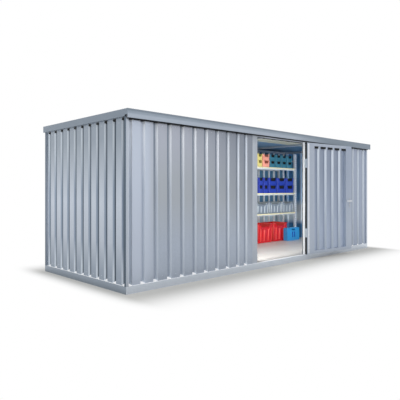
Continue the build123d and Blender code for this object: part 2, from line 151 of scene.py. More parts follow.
def add_node(tree: Tree, kind: str, settings: dict | None = None,
             links: dict | None = None) -> bpy.types.Node:
    """Add a node to a tree, set it up and link its inputs.

    Args:
        tree: Node tree that takes the node.
        kind: Node type, without the ShaderNode that they all start with.
        settings: Values by property name, or else by the name or number of an input.
        links: What feeds an input, by its name or number: a socket, or a node for its first output.

    Returns:
        The new node.
    """
    node = tree.nodes.new(f"ShaderNode{kind}")
    for key, value in (settings or {}).items():
        if isinstance(key, str) and hasattr(node, key):
            setattr(node, key, value)
        else:
            node.inputs[key].default_value = value
    for key, source in (links or {}).items():
        socket = source.outputs[0] if isinstance(source, bpy.types.Node) else source
        tree.links.new(socket, node.inputs[key])
    return node


def new_tree(name: str) -> tuple[bpy.types.Material, Tree, Socket]:
    """Start a material with an empty tree.

    Args:
        name: Name of the material.

    Returns:
        The material, its tree and the output of its Object coordinates.
    """
    material = bpy.data.materials.new(name)
    material.use_nodes = True
    material.node_tree.nodes.clear()
    coordinates = add_node(material.node_tree, "TexCoord")
    return material, material.node_tree, coordinates.outputs["Object"]


def close_tree(tree: Tree, shader: bpy.types.Node) -> None:
    """Lead a shader to the tree's output."""
    add_node(tree, "OutputMaterial", links={"Surface": shader})


def per_metre(millimetres: float) -> float:
    """Scale of a pattern of a given width: one over the width in metres."""
    return 1 / (millimetres * MM)


@dataclass
class Shape:
    """A mesh in the making."""

    points: np.ndarray  # places, one row each
    faces: list[np.ndarray]  # corner numbers, one array for each count of corners

    def placed(self, origin: np.ndarray | Vector, axes: np.ndarray) -> "Shape":
        """Copy whose local axes lie along the rows of axes: origin + points times axes."""
        return Shape(self.points @ axes + np.asarray(origin), self.faces)

    def repeated(self, places: np.ndarray) -> "Shape":
        """Copy the shape to many places: every point plus every place.

        Args:
            places: Array of places, one row each.

        Returns:
            The copies as one shape.
        """
        points = (places[:, None] + self.points[None]).reshape(-1, 3)
        starts = np.arange(len(places))[:, None, None] * len(self.points)
        return Shape(points, [(starts + part[None]).reshape(-1, part.shape[1]) for part in self.faces])


def joined(shapes: list[Shape]) -> Shape:
    """Join shapes: their points in one stack, and their corner numbers raised by the points before.

    Args:
        shapes: The shapes, in turn.

    Returns:
        All of them as one shape.
    """
    starts = np.cumsum([0, *(len(shape.points) for shape in shapes)])
    faces = [part + start for shape, start in zip(shapes, starts) for part in shape.faces]
    return Shape(np.vstack([shape.points for shape in shapes]), faces)


def lofted(rings: np.ndarray) -> Shape:
    """Skin over closed rings: a quad between neighbours on a ring and on the next one, and flat end caps.

    Args:
        rings: Array of rings by points by three.

    Returns:
        The closed shape.
    """
    levels, around = rings.shape[:2]
    ring, place = np.meshgrid(np.arange(levels - 1), np.arange(around), indexing="ij")
    here, after = ring * around + place, ring * around + (place + 1) % around
    quads = np.stack([here, after, after + around, here + around], axis=-1).reshape(-1, 4)
    cap = np.arange(around)[None]
    return Shape(rings.reshape(-1, 3), [quads, cap[:, ::-1], cap + (levels - 1) * around])


def stacked(*layers: tuple[np.ndarray, float]) -> Shape:
    """Skin over level outlines, each of which comes with its height."""
    return lofted(np.array([np.column_stack([ring, np.full(len(ring), level)]) for ring, level in layers]))


def turned(profile: list[tuple[float, float]], sides: int) -> Shape:
    """Solid of revolution about local z: (radius cos a, radius sin a, height) for each profile point.

    Args:
        profile: Radius and height of each point, from one end of the axis to the other.
        sides: Facets round the axis.

    Returns:
        The closed shape.
    """
    outline = np.array(profile, float)
    angle = np.linspace(0, 2 * np.pi, sides, endpoint=False)
    flat = outline[:, :1]
    heights = np.broadcast_to(outline[:, 1:], (len(outline), sides))
    return lofted(np.stack([flat * np.cos(angle), flat * np.sin(angle), heights], axis=-1))


def screw_head(radius: float, height: float) -> Shape:
    """Domed head on local z = 0: a quarter ellipse of the radius and the height, turned about z.

    Args:
        radius: Radius of the head.
        height: Height of the dome, and depth of the shank below it.

    Returns:
        The closed shape.
    """
    angle = np.linspace(0, np.pi / 2, DOME_STEPS)
    dome = np.column_stack([radius * np.cos(angle), height * np.sin(angle)])
    return turned([(0.0, -height), (radius, -height), *dome], HEAD_SIDES)


def rounded_outline(width: float, depth: float, radius: float) -> np.ndarray:
    """Rectangle with round corners: quarter circles of the radius about four corner centres.

    Args:
        width: Size along x.
        depth: Size along y.
        radius: Corner radius.

    Returns:
        Points of the outline in turn, as x and y.
    """
    angle = np.linspace(0, np.pi / 2, CORNER_STEPS)
    quarter = np.stack([np.cos(angle), np.sin(angle)], axis=-1) * radius
    turns = np.array([[[1, 0], [0, 1]], [[0, 1], [-1, 0]], [[-1, 0], [0, -1]], [[0, -1], [1, 0]]])
    centres = np.array([[1, 1], [-1, 1], [-1, -1], [1, -1]]) * (np.array([width, depth]) / 2 - radius)
    return (centres[:, None] + quarter @ turns).reshape(-1, 2)


def slab(width: float, depth: float, height: float, edge: float, radius: float = 0.0) -> Shape:
    """Block on local z = 0 with broken edges: the outline drawn in by the edge at both ends.

    Args:
        width: Size along x.
        depth: Size along y.
        height: Size along z.
        edge: Width of the broken edges.
        radius: Radius of the upright corners, at least the edge.

    Returns:
        The closed shape.
    """
    radius = max(radius, edge)
    least_share = 0.3  # of the edge, for the radius of the drawn-in corners
    full = rounded_outline(width, depth, radius)
    small = rounded_outline(width - 2 * edge, depth - 2 * edge, max(radius - edge, edge * least_share))
    return stacked((small, 0.0), (full, edge), (full, height - edge), (small, height))


def prism(outline: np.ndarray, height: float) -> Shape:
    """Straight prism over an outline in local x and y, from z = 0 to the height."""
    return stacked((outline, 0.0), (outline, height))


def lattice(across: Sequence[float], deep: Sequence[float], up: Sequence[float]) -> np.ndarray:
    """Every place with one of the given x, y and z, where x runs fastest.

    Args:
        across: Places along x.
        deep: Places along y.
        up: Places along z.

    Returns:
        Array of places, one row each.
    """
    heights, depths, widths = np.meshgrid(up, deep, across, indexing="ij")
    return np.stack([widths, depths, heights], axis=-1).reshape(-1, 3)


def corners(node: str) -> np.ndarray:
    """Lower and upper corner of a node's box, one row each."""
    return np.array(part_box(node))


def node_points(node: str) -> np.ndarray:
    """Read the places of a node's points.

    Args:
        node: Name of the node.

    Returns:
        Array of places, one row each.
    """
    mesh = frame["nodes"][node].data
    points = np.empty(len(mesh.vertices) * 3)
    mesh.vertices.foreach_get("co", points)
    return points.reshape(-1, 3)


def wall_flats(node: str, wall: Wall) -> np.ndarray:
    """Flats of a grooved sheet, from the points of its outermost plane at its foot.

    Args:
        node: Wall sheet's node.
        wall: Side that it stands on.

    Returns:
        Start and end of each flat along the wall, in turn.
    """
    points = node_points(node)
    reach = points @ wall.out
    skin = 0.2 * MM  # depth within which a point is on the outermost plane
    on_face = points[(reach > reach.max() - skin) & (points[:, 2] < points[:, 2].min() + MM)]
    places = np.unique(np.round(on_face @ wall.along, decimals=5))
    return places[: len(places) // 2 * 2].reshape(-1, 2)


@dataclass(frozen=True)
class PaintedLight:
    """Painted light and shade on the faces of a piece that look one way, between two places along a
    direction.

    It stands in for light and shade: painted highlights on folds that face the lamps, painted shade in
    grooves and corners, and a painted reflection of the ground's shadow that darkens a sheet's foot.
    """

    colour: str
    look: Vector  # direction that the faces look
    along: Vector = ORIGIN  # direction along which the tone comes in
    none: float = -1.0  # place along it where there is nothing of the tone
    full: float = 0.0  # place along it where the tone is full
    turn_none: float = 0.1  # cosine of a face's turn to the look where there is nothing of the tone
    turn_full: float = 0.3  # cosine where the tone is full

    def over(self, tree: Tree, place: Socket, colour: Socket) -> Socket:
        """Lay the painted light and shade over a colour, by the product of two ramps of dot products.

        Args:
            tree: Tree of the finish.
            place: Output of the Object coordinates.
            colour: Output of the colour below.

        Returns:
            Output of the mixed colour.
        """
        normal = add_node(tree, "NewGeometry").outputs["Normal"]
        sources = ((normal, self.look, self.turn_none, self.turn_full),
                   (place, self.along, self.none, self.full))
        ramps = {}
        for number, (source, way, none, full) in enumerate(sources):
            reach = add_node(tree, "VectorMath", {"operation": "DOT_PRODUCT", 1: way}, {0: source})
            ramps[number] = add_node(tree, "MapRange", {1: none, 2: full}, {"Value": reach.outputs["Value"]})
        share = add_node(tree, "Math", {"operation": "MULTIPLY"}, ramps)
        tone = {"data_type": "RGBA", 7: linear(self.colour)}
        return add_node(tree, "Mix", tone, {"Factor": share, 6: colour}).outputs[2]


@dataclass(frozen=True)
class ZincSheet:
    """Hot-dip galvanised sheet: a soft sheen, faint spangle and long, shallow waves from rolling."""

    name: str
    base: str  # colour of the zinc
    pale: str  # colour of the lighter spangles
    roughness: float = 0.32
    metallic: float = 0.65  # share of the metal's own reflection
    painted_lights: tuple[PaintedLight, ...] = ()  # painted light and shade on some of its faces, each over the ones before
    spangle_mm: float = 18.0
    spangle_share: float = 0.3  # weight of the spangle in the colour
    streak_mm: float = 90.0  # width of the upright streaks left by the rolls
    streak_share: float = 0.75  # weight of the streaks in the colour
    streak_squeeze: float = 0.08  # width of a streak over its length
    rough_spread: float = 0.07
    wave_mm: float = 420.0
    wave_rise_mm: float = 12.0

    def material(self) -> bpy.types.Material:
        """Build the finish from spangle cells, upright streaks and a low wave.

        Returns:
            The material.
        """
        made, tree, place = new_tree(self.name)
        cells = add_node(tree, "TexVoronoi", {"Scale": per_metre(self.spangle_mm)}, {"Vector": place})
        wide = per_metre(self.streak_mm)
        scale = (wide, wide, self.streak_squeeze * wide)
        stretch = add_node(tree, "Mapping", {"Scale": scale}, {"Vector": place})
        streaks = add_node(tree, "TexNoise", {"Scale": 1.0, "Detail": 4.0}, {"Vector": stretch})
        faint = add_node(tree, "Math", {"operation": "MULTIPLY", 1: self.spangle_share},
                         {0: cells.outputs["Color"]})
        mixed = add_node(tree, "Math", {"operation": "MULTIPLY_ADD", 1: self.streak_share},
                         {0: streaks, 2: faint})
        zinc = add_node(tree, "Mix", {"data_type": "RGBA", 6: linear(self.base), 7: linear(self.pale)},
                        {"Factor": mixed})
        colour = zinc.outputs[2]
        for light_patch in self.painted_lights:
            colour = light_patch.over(tree, place, colour)
        rough = {3: self.roughness - self.rough_spread, 4: self.roughness + self.rough_spread}
        sheen = add_node(tree, "MapRange", rough, {"Value": mixed})
        wave = add_node(tree, "TexNoise", {"Scale": per_metre(self.wave_mm), "Detail": 1.0},
                        {"Vector": place})
        bump = add_node(tree, "Bump", {"Strength": 0.3, "Distance": self.wave_rise_mm * MM}, {"Height": wave})
        close_tree(tree, add_node(tree, "BsdfPrincipled", {"Metallic": self.metallic},
                                  {"Base Color": colour, "Roughness": sheen, "Normal": bump}))
        return made


@dataclass(frozen=True)
class MouldedPlastic:
    """Moulded polypropylene or rubber: even colour with a fine spark-eroded grain and a low gloss."""

    name: str
    base: str
    roughness: float = 0.36
    grain_mm: float = 4.0  # width of the grain, drawn coarse enough to show
    painted_lights: tuple[PaintedLight, ...] = ()  # painted light and shade on some of its faces, each over the ones before
    cloud_mm: float = 110.0  # width of the faint clouds in the colour
    cloud_dark: float = 0.86  # brightness of the colour in the dark clouds
    cloud_light: float = 1.12  # brightness in the light ones

    def material(self) -> bpy.types.Material:
        """Build the finish from a faint cloud in the colour and a fine grain in the bump.

        Returns:
            The material.
        """
        made, tree, place = new_tree(self.name)
        cloud = add_node(tree, "TexNoise", {"Scale": per_metre(self.cloud_mm), "Detail": 3.0},
                         {"Vector": place})
        value = add_node(tree, "MapRange", {3: self.cloud_dark, 4: self.cloud_light}, {"Value": cloud})
        colour = add_node(tree, "HueSaturation", {"Color": linear(self.base)}, {"Value": value}).outputs[0]
        for light_patch in self.painted_lights:
            colour = light_patch.over(tree, place, colour)
        grain = add_node(tree, "TexNoise", {"Scale": per_metre(self.grain_mm)}, {"Vector": place})
        bump = add_node(tree, "Bump", {"Strength": 0.12, "Distance": MM}, {"Height": grain})
        close_tree(tree, add_node(tree, "BsdfPrincipled", {"Roughness": self.roughness, "IOR": 1.49},
                                  {"Base Color": colour, "Normal": bump}))
        return made


@dataclass(frozen=True)
class Board:
    """Pressed wood board or felt: fine long chips or fibres in two near tones."""

    name: str
    base: str  # colour of the darker chips
    pale: str  # colour of the lighter chips
    chip_mm: float = 9.0
    roughness: float = 0.55
    chip_squeeze: float = 0.25  # width of a chip over its length
    chip_share: float = 0.4  # weight of the chips in the colour
    cloud_mm: float = 400.0  # width of the patches that the chips gather to

    def material(self) -> bpy.types.Material:
        """Build the finish from chips stretched along the board.

        Returns:
            The material.
        """
        made, tree, place = new_tree(self.name)
        stretch = add_node(tree, "Mapping", {"Scale": (self.chip_squeeze, 1.0, 1.0)}, {"Vector": place})
        chips = add_node(tree, "TexVoronoi", {"Scale": per_metre(self.chip_mm)}, {"Vector": stretch})
        cloud = add_node(tree, "TexNoise", {"Scale": per_metre(self.cloud_mm), "Detail": 4.0},
                         {"Vector": place})
        mixed = add_node(tree, "Math", {"operation": "MULTIPLY_ADD", 1: self.chip_share},
                         {0: chips.outputs["Color"], 2: cloud})
        colour = add_node(tree, "Mix", {"data_type": "RGBA", 6: linear(self.base), 7: linear(self.pale)},
                          {"Factor": mixed})
        bump = add_node(tree, "Bump", {"Strength": 0.15, "Distance": MM}, {"Height": chips})
        close_tree(tree, add_node(tree, "BsdfPrincipled", {"Roughness": self.roughness},
                                  {"Base Color": colour.outputs[2], "Normal": bump}))
        return made


@dataclass(frozen=True)
class PlainMetal:
    """Plated or coated metal part: a fine, even skin with light handling marks."""

    name: str
    base: str
    roughness: float = 0.35
    metallic: float = 1.0  # one for bare metal, nothing for a coat
    rough_spread: float = 0.1
    grain_mm: float = 3.0
    mark_mm: float = 33.0  # width of the handling marks

    def material(self) -> bpy.types.Material:
        """Build the finish from a cloud in the roughness and a fine bump.

        Returns:
            The material.
        """
        made, tree, place = new_tree(self.name)
        cloud = add_node(tree, "TexNoise", {"Scale": per_metre(self.mark_mm), "Detail": 4.0},
                         {"Vector": place})
        rough = {3: self.roughness - self.rough_spread, 4: self.roughness + self.rough_spread}
        sheen = add_node(tree, "MapRange", rough, {"Value": cloud})
        grain = add_node(tree, "TexNoise", {"Scale": per_metre(self.grain_mm)}, {"Vector": place})
        bump = add_node(tree, "Bump", {"Strength": 0.08, "Distance": MM}, {"Height": grain})
        skin = {"Base Color": linear(self.base), "Metallic": self.metallic}
        close_tree(tree, add_node(tree, "BsdfPrincipled", skin, {"Roughness": sheen, "Normal": bump}))
        return made


FINISHES: dict[str, ZincSheet | PlainMetal | Board | MouldedPlastic] = {
    "roof": ZincSheet("galvanised_roof_sheet", "#99a3b2", "#adb6c4"),
    # Painted light and shade on the front wall's left sheet: its flats lighten upwards and darken towards the
    # right, its groove floors carry painted shade, lifted near the corner post, and its groove sides that
    # face left carry painted highlights, brightest high up and towards the left.
    "wall": ZincSheet("galvanised_wall_sheet", "#99a3b2", "#adb6c4", painted_lights=(
        PaintedLight("#9fa5ad", TO_FRONT, TO_TOP, 0.5, 1.1), PaintedLight("#a4a9b5", TO_FRONT, TO_TOP, 1.35, 1.8),
        PaintedLight("#888f9b", TO_FRONT, TO_RIGHT_TOP, -0.6, 0.45),
        PaintedLight("#7a8592", TO_FRONT, TO_FRONT_LOW, 0.995, 0.982), PaintedLight("#b3bccb", TO_FRONT, TO_LEFT, 2.56, 2.70),
        PaintedLight("#e0e6ef", TO_FRONT, TO_REAR_LEFT, -0.715, -0.695),
        PaintedLight("#c9d1db", TO_LEFT), PaintedLight("#eef2f7", TO_LEFT, TO_TOP, 1.2, 1.9),
        PaintedLight("#c1c9d3", TO_LEFT, TO_RIGHT_TOP, -0.2, 0.5))),
    # The front wall's right sheet, in a darker zinc than the left one; painted shade in its grooves, deepest
    # at their floors, and painted highlights on its groove sides that face left.
    "far_wall": ZincSheet("galvanised_far_wall_sheet", "#8c98ac", "#9faabe", painted_lights=(
        PaintedLight("#76818f", TO_FRONT, TO_FRONT, 1.020, 1.000), PaintedLight("#bcc5d0", TO_LEFT),
        PaintedLight("#5f6a77", TO_FRONT, TO_FRONT, 1.012, 0.998))),
    # Painted light and shade on the left end: its flats darken high up and towards the foot, the latter a
    # painted reflection of the ground's shadow; its groove sides that face front carry painted shade, lighter
    # high and low; its groove floors carry painted shade.
    "left": ZincSheet("galvanised_left_wall_sheet", "#a1aab6", "#b4bcc7", painted_lights=(
        PaintedLight("#7f8994", TO_LEFT, TO_TOP, 1.05, 1.85), PaintedLight("#8e99a7", TO_LEFT, TO_TOP, 0.58, 0.22),
        PaintedLight("#8f9cad", TO_FRONT), PaintedLight("#b6bfc8", TO_FRONT, TO_TOP, 1.2, 1.8),
        PaintedLight("#c9d2dc", TO_FRONT, TO_TOP, 0.55, 0.2), PaintedLight("#586470", TO_LEFT, TO_LEFT, 2.992, 2.978))),
    # Painted light and shade on the rear wall's inner face: painted blue shade over it, painted pale light on
    # its lowest bay and painted white highlights on its ribs.
    "rear": ZincSheet("galvanised_rear_wall_sheet", "#9ca6b5", "#b0b9c6", metallic=0.3, painted_lights=(
        PaintedLight("#5f90b2", TO_FRONT), PaintedLight("#bccfd8", TO_FRONT, TO_TOP, 0.88, 0.76),
        PaintedLight("#fbfcfd", TO_FRONT, TO_FRONT, -1.020, -1.000))),
    # Painted light and shade on the right wall's inner face: painted blue shade over it, paler ribs, a
    # painted pale patch below mid-height and painted shade again near the floor.
    "right": ZincSheet("galvanised_right_wall_sheet", "#9ca6b5", "#b0b9c6", painted_lights=(
        PaintedLight("#6fa3d0", TO_LEFT), PaintedLight("#c6e0f6", TO_LEFT, TO_LEFT, -2.995, -2.972),
        PaintedLight("#eaf2f7", TO_LEFT, TO_TOP, 0.98, 0.84), PaintedLight("#5c95c6", TO_LEFT, TO_TOP, 0.52, 0.40))),
    # Painted light and shade on the door leaf: its faces that look front darken upwards, and its rib sides
    # that face left carry painted highlights, brighter high up.
    "leaf": ZincSheet("galvanised_door_sheet", "#97a3b8", "#a6b1c5", painted_lights=(
        PaintedLight("#8590a4", TO_FRONT, TO_TOP, 0.5, 1.6), PaintedLight("#a9b3c0", TO_LEFT),
        PaintedLight("#bac3ce", TO_LEFT, TO_TOP, 0.7, 1.8))),
    "leaf_frame": ZincSheet("galvanised_door_stile", "#9aa4b4", "#adb6c4"),
    # Painted light on the lock stile: its faces that look front darken upwards, and its side that faces left
    # is lit up where it lies in shade.
    "lock_stile": ZincSheet("galvanised_lock_stile", "#9aa4b4", "#adb6c4", painted_lights=(
        PaintedLight("#97a2b5", TO_FRONT, TO_TOP, 0.5, 1.5), PaintedLight("#c9d2dc", TO_LEFT))),
    # Painted shade on the faces of the sills, rails and bearers that look left.
    "member": ZincSheet("galvanised_frame_section", "#cfd8e4", "#dbe2ec", painted_lights=(
        PaintedLight("#909ba8", TO_LEFT),)),
    # Painted shade on the left faces of the left corner posts, and painted light on the left and front faces
    # of the right ones.
    "post": ZincSheet("galvanised_corner_post", "#a3acb9", "#b6bec9", painted_lights=(
        PaintedLight("#4f5d6b", TO_LEFT, TO_LEFT, 0.0, 1.0), PaintedLight("#dbe1e9", TO_LEFT, TO_RIGHT, 0.0, 1.0),
        PaintedLight("#c6ceda", TO_FRONT, TO_RIGHT, 0.0, 1.0))),
    # Painted light and shade on the fascias: the front's lower band is lighter, its top edge and right part
    # darker, and the faces that look left darker.
    "fascia": ZincSheet("galvanised_fascia", "#84909d", "#99a4b1", roughness=0.42, painted_lights=(
        PaintedLight("#a3adba", TO_FRONT, TO_TOP, 2.105, 2.085), PaintedLight("#727d89", TO_LEFT),
        PaintedLight("#7c8793", TO_FRONT, TO_TOP, 2.118, 2.130), PaintedLight("#7f8b98", TO_FRONT, TO_RIGHT, 0.3, 1.3))),
    # Painted light: the door frame's faces that look left, the right post's reveal among them, are painted
    # near white.
    "frame": ZincSheet("galvanised_door_frame", "#a3acb9", "#bac2cc", metallic=0.1, painted_lights=(
        PaintedLight("#fafbfc", TO_LEFT),)),
    # Near-white strip on the door's hinge stile: a painted highlight of the stile's fold.
    "stile_highlight": PlainMetal("painted_stile_highlight", "#fbfcfd", 0.3, 0.2),
    # Near-white strips and wedges on the sills' ledges: painted light from overhead on the ledges.
    "lit_ledge": PlainMetal("painted_light_on_ledges", "#fcfdfe", 0.5, 0.0),
    "hinge": PlainMetal("zinc_plated_hinge_steel", "#c6cbd2", 0.36, 0.7),
    "lever": PlainMetal("satin_aluminium", "#d6d9de", 0.3, 0.8),
    "plate": PlainMetal("brushed_lock_plate_steel", "#a3aab4", 0.36),
    "rack": PlainMetal("powder_coated_rack_steel", "#cfd8e2", 0.4, 0.0),
    "deck": Board("resin_faced_floor_board", "#bdbab4", "#cecbc6", roughness=0.5),
    "board": Board("chipboard_shelf", "#ddd3a0", "#f2ebc6"),
    "fleece": Board("ceiling_fleece", "#6c726c", "#8f948a", 5.0, 0.95),
    # The rear ceiling panels: the fleece darkened and blued as painted shade.
    "shaded_fleece": Board("ceiling_fleece_painted_shade", "#2c506c", "#43698b", 5.0, 0.7),
    "yellow": MouldedPlastic("yellow_polypropylene", "#e2d47f"),
    "orange": MouldedPlastic("orange_polypropylene", "#f8a590"),
    "teal": MouldedPlastic("teal_polypropylene", "#35778d"),
    "blue": MouldedPlastic("blue_polypropylene", "#1833a2"),
    # Painted highlights on the rib sides of the tubs that face left.
    "grey": MouldedPlastic("grey_polypropylene", "#75818e", 0.28, painted_lights=(
        PaintedLight("#bac5ce", TO_LEFT),)),
    # Painted highlights on the rib sides of the crates that face left.
    "red": MouldedPlastic("red_polypropylene", "#cd1a22", 0.26, painted_lights=(
        PaintedLight("#ec4d48", TO_LEFT),)),
    "light_blue": MouldedPlastic("light_blue_polypropylene", "#3497d5", 0.3),
    "rubber": MouldedPlastic("black_seal_rubber", "#0d0e10", 0.7),
    # Black foam for the closures; the same black is painted shade for the grooves' heads, the door's recess
    # heads, the eaves, the dark bins' insides and the rack's slots.
    "foam_and_shade": MouldedPlastic("black_foam_and_painted_shade", "#0c0d10", 0.9, 2.0),
}


NODE_FINISHES = {
    "roof": ("roof_sheet",),
    "wall": ("front_wall_left",),
    "far_wall": ("front_wall_right",),
    **{side: (f"{side}_wall",) for side in ("left", "rear", "right")},
    "post": ("corner_posts",),
    "leaf": ("door_sheet",),
    "leaf_frame": ("door_hinge_stile", "door_rails"),
    "lock_stile": ("door_lock_stile",),
    "member": (*(f"{side}_{run}" for run in ("sill", "top_rail") for side in SIDES), "floor_bearers",
               "roof_bearers"),
    "fascia": tuple(f"{side}_fascia" for side in SIDES),
    "frame": ("door_post_left", "door_post_right", "door_header"),
    "hinge": ("hinge_post_halves", "hinge_leaf_halves"),
    "plate": ("lock_plates",),
    "lever": ("lever_pair",),
    "deck": ("floor_deck",),
    "rack": ("rack_end_frames", "rack_beams"),
    "board": ("rack_boards",),
    **{colour: (f"{colour}_boxes",) for colour in ("yellow", "orange", "teal", "blue")},
    "grey": ("grey_tubs",),
    "red": ("red_crates",),
    "light_blue": ("blue_case",),
}


@dataclass
class Palette:
    """Makes each finish's material once, and dresses nodes and new pieces with it."""

    made: dict[str, bpy.types.Material] = field(default_factory=dict)  # materials so far, by finish

    def get(self, finish: str) -> bpy.types.Material:
        """Lend a finish's material, which is made at its first use.

        Args:
            finish: Name of the finish.

        Returns:
            Its material.
        """
        if finish not in self.made:
            self.made[finish] = FINISHES[finish].material()
        return self.made[finish]

    def dress_nodes(self) -> None:
        """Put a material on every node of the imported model."""
        for finish, nodes in NODE_FINISHES.items():
            for node in nodes:
                slots = frame["nodes"][node].data.materials
                slots.clear()
                slots.append(self.get(finish))
            LOG.info("%s dresses %d nodes", finish, len(nodes))

    def piece(self, name: str, shape: Shape, finish: str, body: Body = Body.CABIN,
              slot: str | None = None) -> bpy.types.Object:
        """Turn a shape to an object that rides on a body.

        Args:
            name: Name of the object.
            shape: Places and faces, already in the model's frame.
            finish: Name of its finish.
            body: Body that carries it.
            slot: Material slot of the record, if one fits; not used.

        Returns:
            The new object, with doubles merged, faces turned outwards and folds kept sharp.
        """
        mesh = bpy.data.meshes.new(name)
        mesh.from_pydata(shape.points.tolist(), [], [face for part in shape.faces for face in part.tolist()])
        work = bmesh.new()
        work.from_mesh(mesh)
        bmesh.ops.remove_doubles(work, verts=work.verts, dist=SAME_PLACE)
        bmesh.ops.recalc_face_normals(work, faces=work.faces)
        work.to_mesh(mesh)
        work.free()
        mesh.polygons.foreach_set("use_smooth", np.ones(len(mesh.polygons), dtype=bool))
        mesh.set_sharp_from_angle(angle=SHARP_FOLD)
        mesh.materials.append(self.get(finish))
        piece = bpy.data.objects.new(name, mesh)
        bpy.context.scene.collection.objects.link(piece)
        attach(piece, body.value)
        LOG.info("%s rides on the %s", name, body.value)
        return piece


@dataclass
class WallDetails:
    """Black foam closures at the grooves' heads, whose black also paints the shade there; near-white wedges
    at their feet, painted light on the sill's ledge; and rivets along the sheets' edges.
    """

    groove_slope: float = 0.019  # run of a groove's side across the wall
    groove_depth: float = 0.0345
    mouth_inset: float = 0.002  # distance of a filling's front from the sheet's face
    clear: float = 0.0008  # gap between a filling and the groove's sides
    closure_height: float = 0.026
    wedge_height: float = 0.021
    wedge_crest: float = 0.003  # depth of a wedge at its top
    wedge_lift: float = 0.002  # height of a wedge's foot over the sheet's lower edge
    rivet_radius: float = 0.006
    rivet_rise: float = 0.0025
    rivet_inset: float = 0.055  # distance of the rivets from the sheet's upper and lower edge
    sheets: tuple[tuple[str, Wall, str], ...] = (  # node, side and finish
        ("left_wall", Wall.LEFT, "left"),
        ("right_wall", Wall.RIGHT, "right"),
        ("rear_wall", Wall.REAR, "rear"),
        ("front_wall_left", Wall.FRONT, "wall"),
        ("front_wall_right", Wall.FRONT, "far_wall"),
    )

    def fillings(self, mouth: float) -> tuple[Shape, Shape]:
        """Fill a groove's trapezoid, which is the mouth less two slopes at the groove's floor.

        Args:
            mouth: Width of the groove at the sheet's face.

        Returns:
            A prism for the closure, and for the wedge a loft from the trapezoid at its foot to a sliver
            along the groove's floor.
        """
        half = mouth / 2 - self.clear
        floor = half - self.groove_slope
        back, crest = self.groove_depth, self.groove_depth - self.wedge_crest
        whole = np.array([[-half, self.mouth_inset], [half, self.mouth_inset], [floor, back], [-floor, back]])
        sliver = np.array([[-floor, crest], [floor, crest], [floor, back], [-floor, back]])
        return prism(whole, self.closure_height), stacked((whole, 0.0), (sliver, self.wedge_height))

    def build(self, palette: Palette) -> None:
        """Set the closures, the foot wedges and the rivets of every wall sheet.

        Args:
            palette: Maker of the pieces.
        """
        for node, wall, finish in self.sheets:
            low, high = corners(node)
            face = wall.out * max(low @ wall.out, high @ wall.out)
            flats = wall_flats(node, wall)
            grooves = np.outer((flats[:-1, 1] + flats[1:, 0]) / 2, wall.along) + face
            closure, wedge = self.fillings(float(np.median(flats[1:, 0] - flats[:-1, 1])))
            heads = grooves + UP * (high[2] - self.closure_height)
            closures = closure.placed(ORIGIN, wall.standing).repeated(heads)
            # The closures' black also paints the shade in the grooves' heads.
            palette.piece(f"{node}_closures", closures, "foam_and_shade")
            feet = grooves + UP * (low[2] + self.wedge_lift)
            wedges = wedge.placed(ORIGIN, wall.standing).repeated(feet)
            # The wedges are near-white: painted light on the sill's ledge in the grooves.
            palette.piece(f"{node}_wedges", wedges, "lit_ledge", slot="galvanised_frame")
            middles = np.outer(flats.mean(axis=1), wall.along) + face
            levels = (low[2] + self.rivet_inset, high[2] - self.rivet_inset)
            head = screw_head(self.rivet_radius, self.rivet_rise).placed(ORIGIN, wall.facing)
            rivets = head.repeated(np.concatenate([middles + UP * level for level in levels]))
            palette.piece(f"{node}_rivets", rivets, finish, slot="galvanised_frame")


@dataclass
class LeafFrame:
    """Place and directions of the door leaf, from the model's two joints."""

    pin_out: float = 0.013  # distance from the pin to the leaf's outer face
    thick: float = 0.040
    start: float = -0.0144  # place of the hinge edge along the leaf, from the pin
    end: float = 1.2846  # place of the free edge
    pin: np.ndarray = field(init=False)
    spindle: np.ndarray = field(init=False)
    reach: float = field(init=False)  # distance from the pin to the spindle
    along: np.ndarray = field(init=False)
    inward: np.ndarray = field(init=False)

    def __post_init__(self) -> None:
        """Read the pin's place and the lever's: the leaf runs from the one to the other."""
        joints = {joint["name"]: np.array(joint["pos_m"]) for joint in frame["joints"]}
        level = 1.0 - UP
        run = (joints["lever_turn"] - joints["door_hinge"]) * level
        self.pin = joints["door_hinge"] * level
        self.spindle = joints["lever_turn"]
        self.reach = float(np.linalg.norm(run))
        self.along = run / self.reach
        self.inward = np.array([self.along[1], -self.along[0], 0.0])

    @property
    def middle(self) -> float:
        """Distance from the pin's line to the middle of the leaf's thickness."""
        return self.pin_out + self.thick / 2

    @property
    def standing(self) -> np.ndarray:
        """Axes of an upright piece: x along the leaf, y towards its outer face and z up."""
        return np.array([self.along, -self.inward, UP])

    @property
    def facing(self) -> np.ndarray:
        """Axes of a piece on the inner face: x along the leaf, y up and z off the face."""
        return np.array([self.along, UP, self.inward])

    @property
    def backing(self) -> np.ndarray:
        """Axes of a piece on the outer face: x against the leaf, y up and z off the face."""
        return np.array([-self.along, UP, -self.inward])

    def at(self, along: float, out: float, height: float) -> np.ndarray:
        """Place at a distance along the leaf, a distance from the pin's line and a height."""
        return self.pin + self.along * along + self.inward * out + UP * height


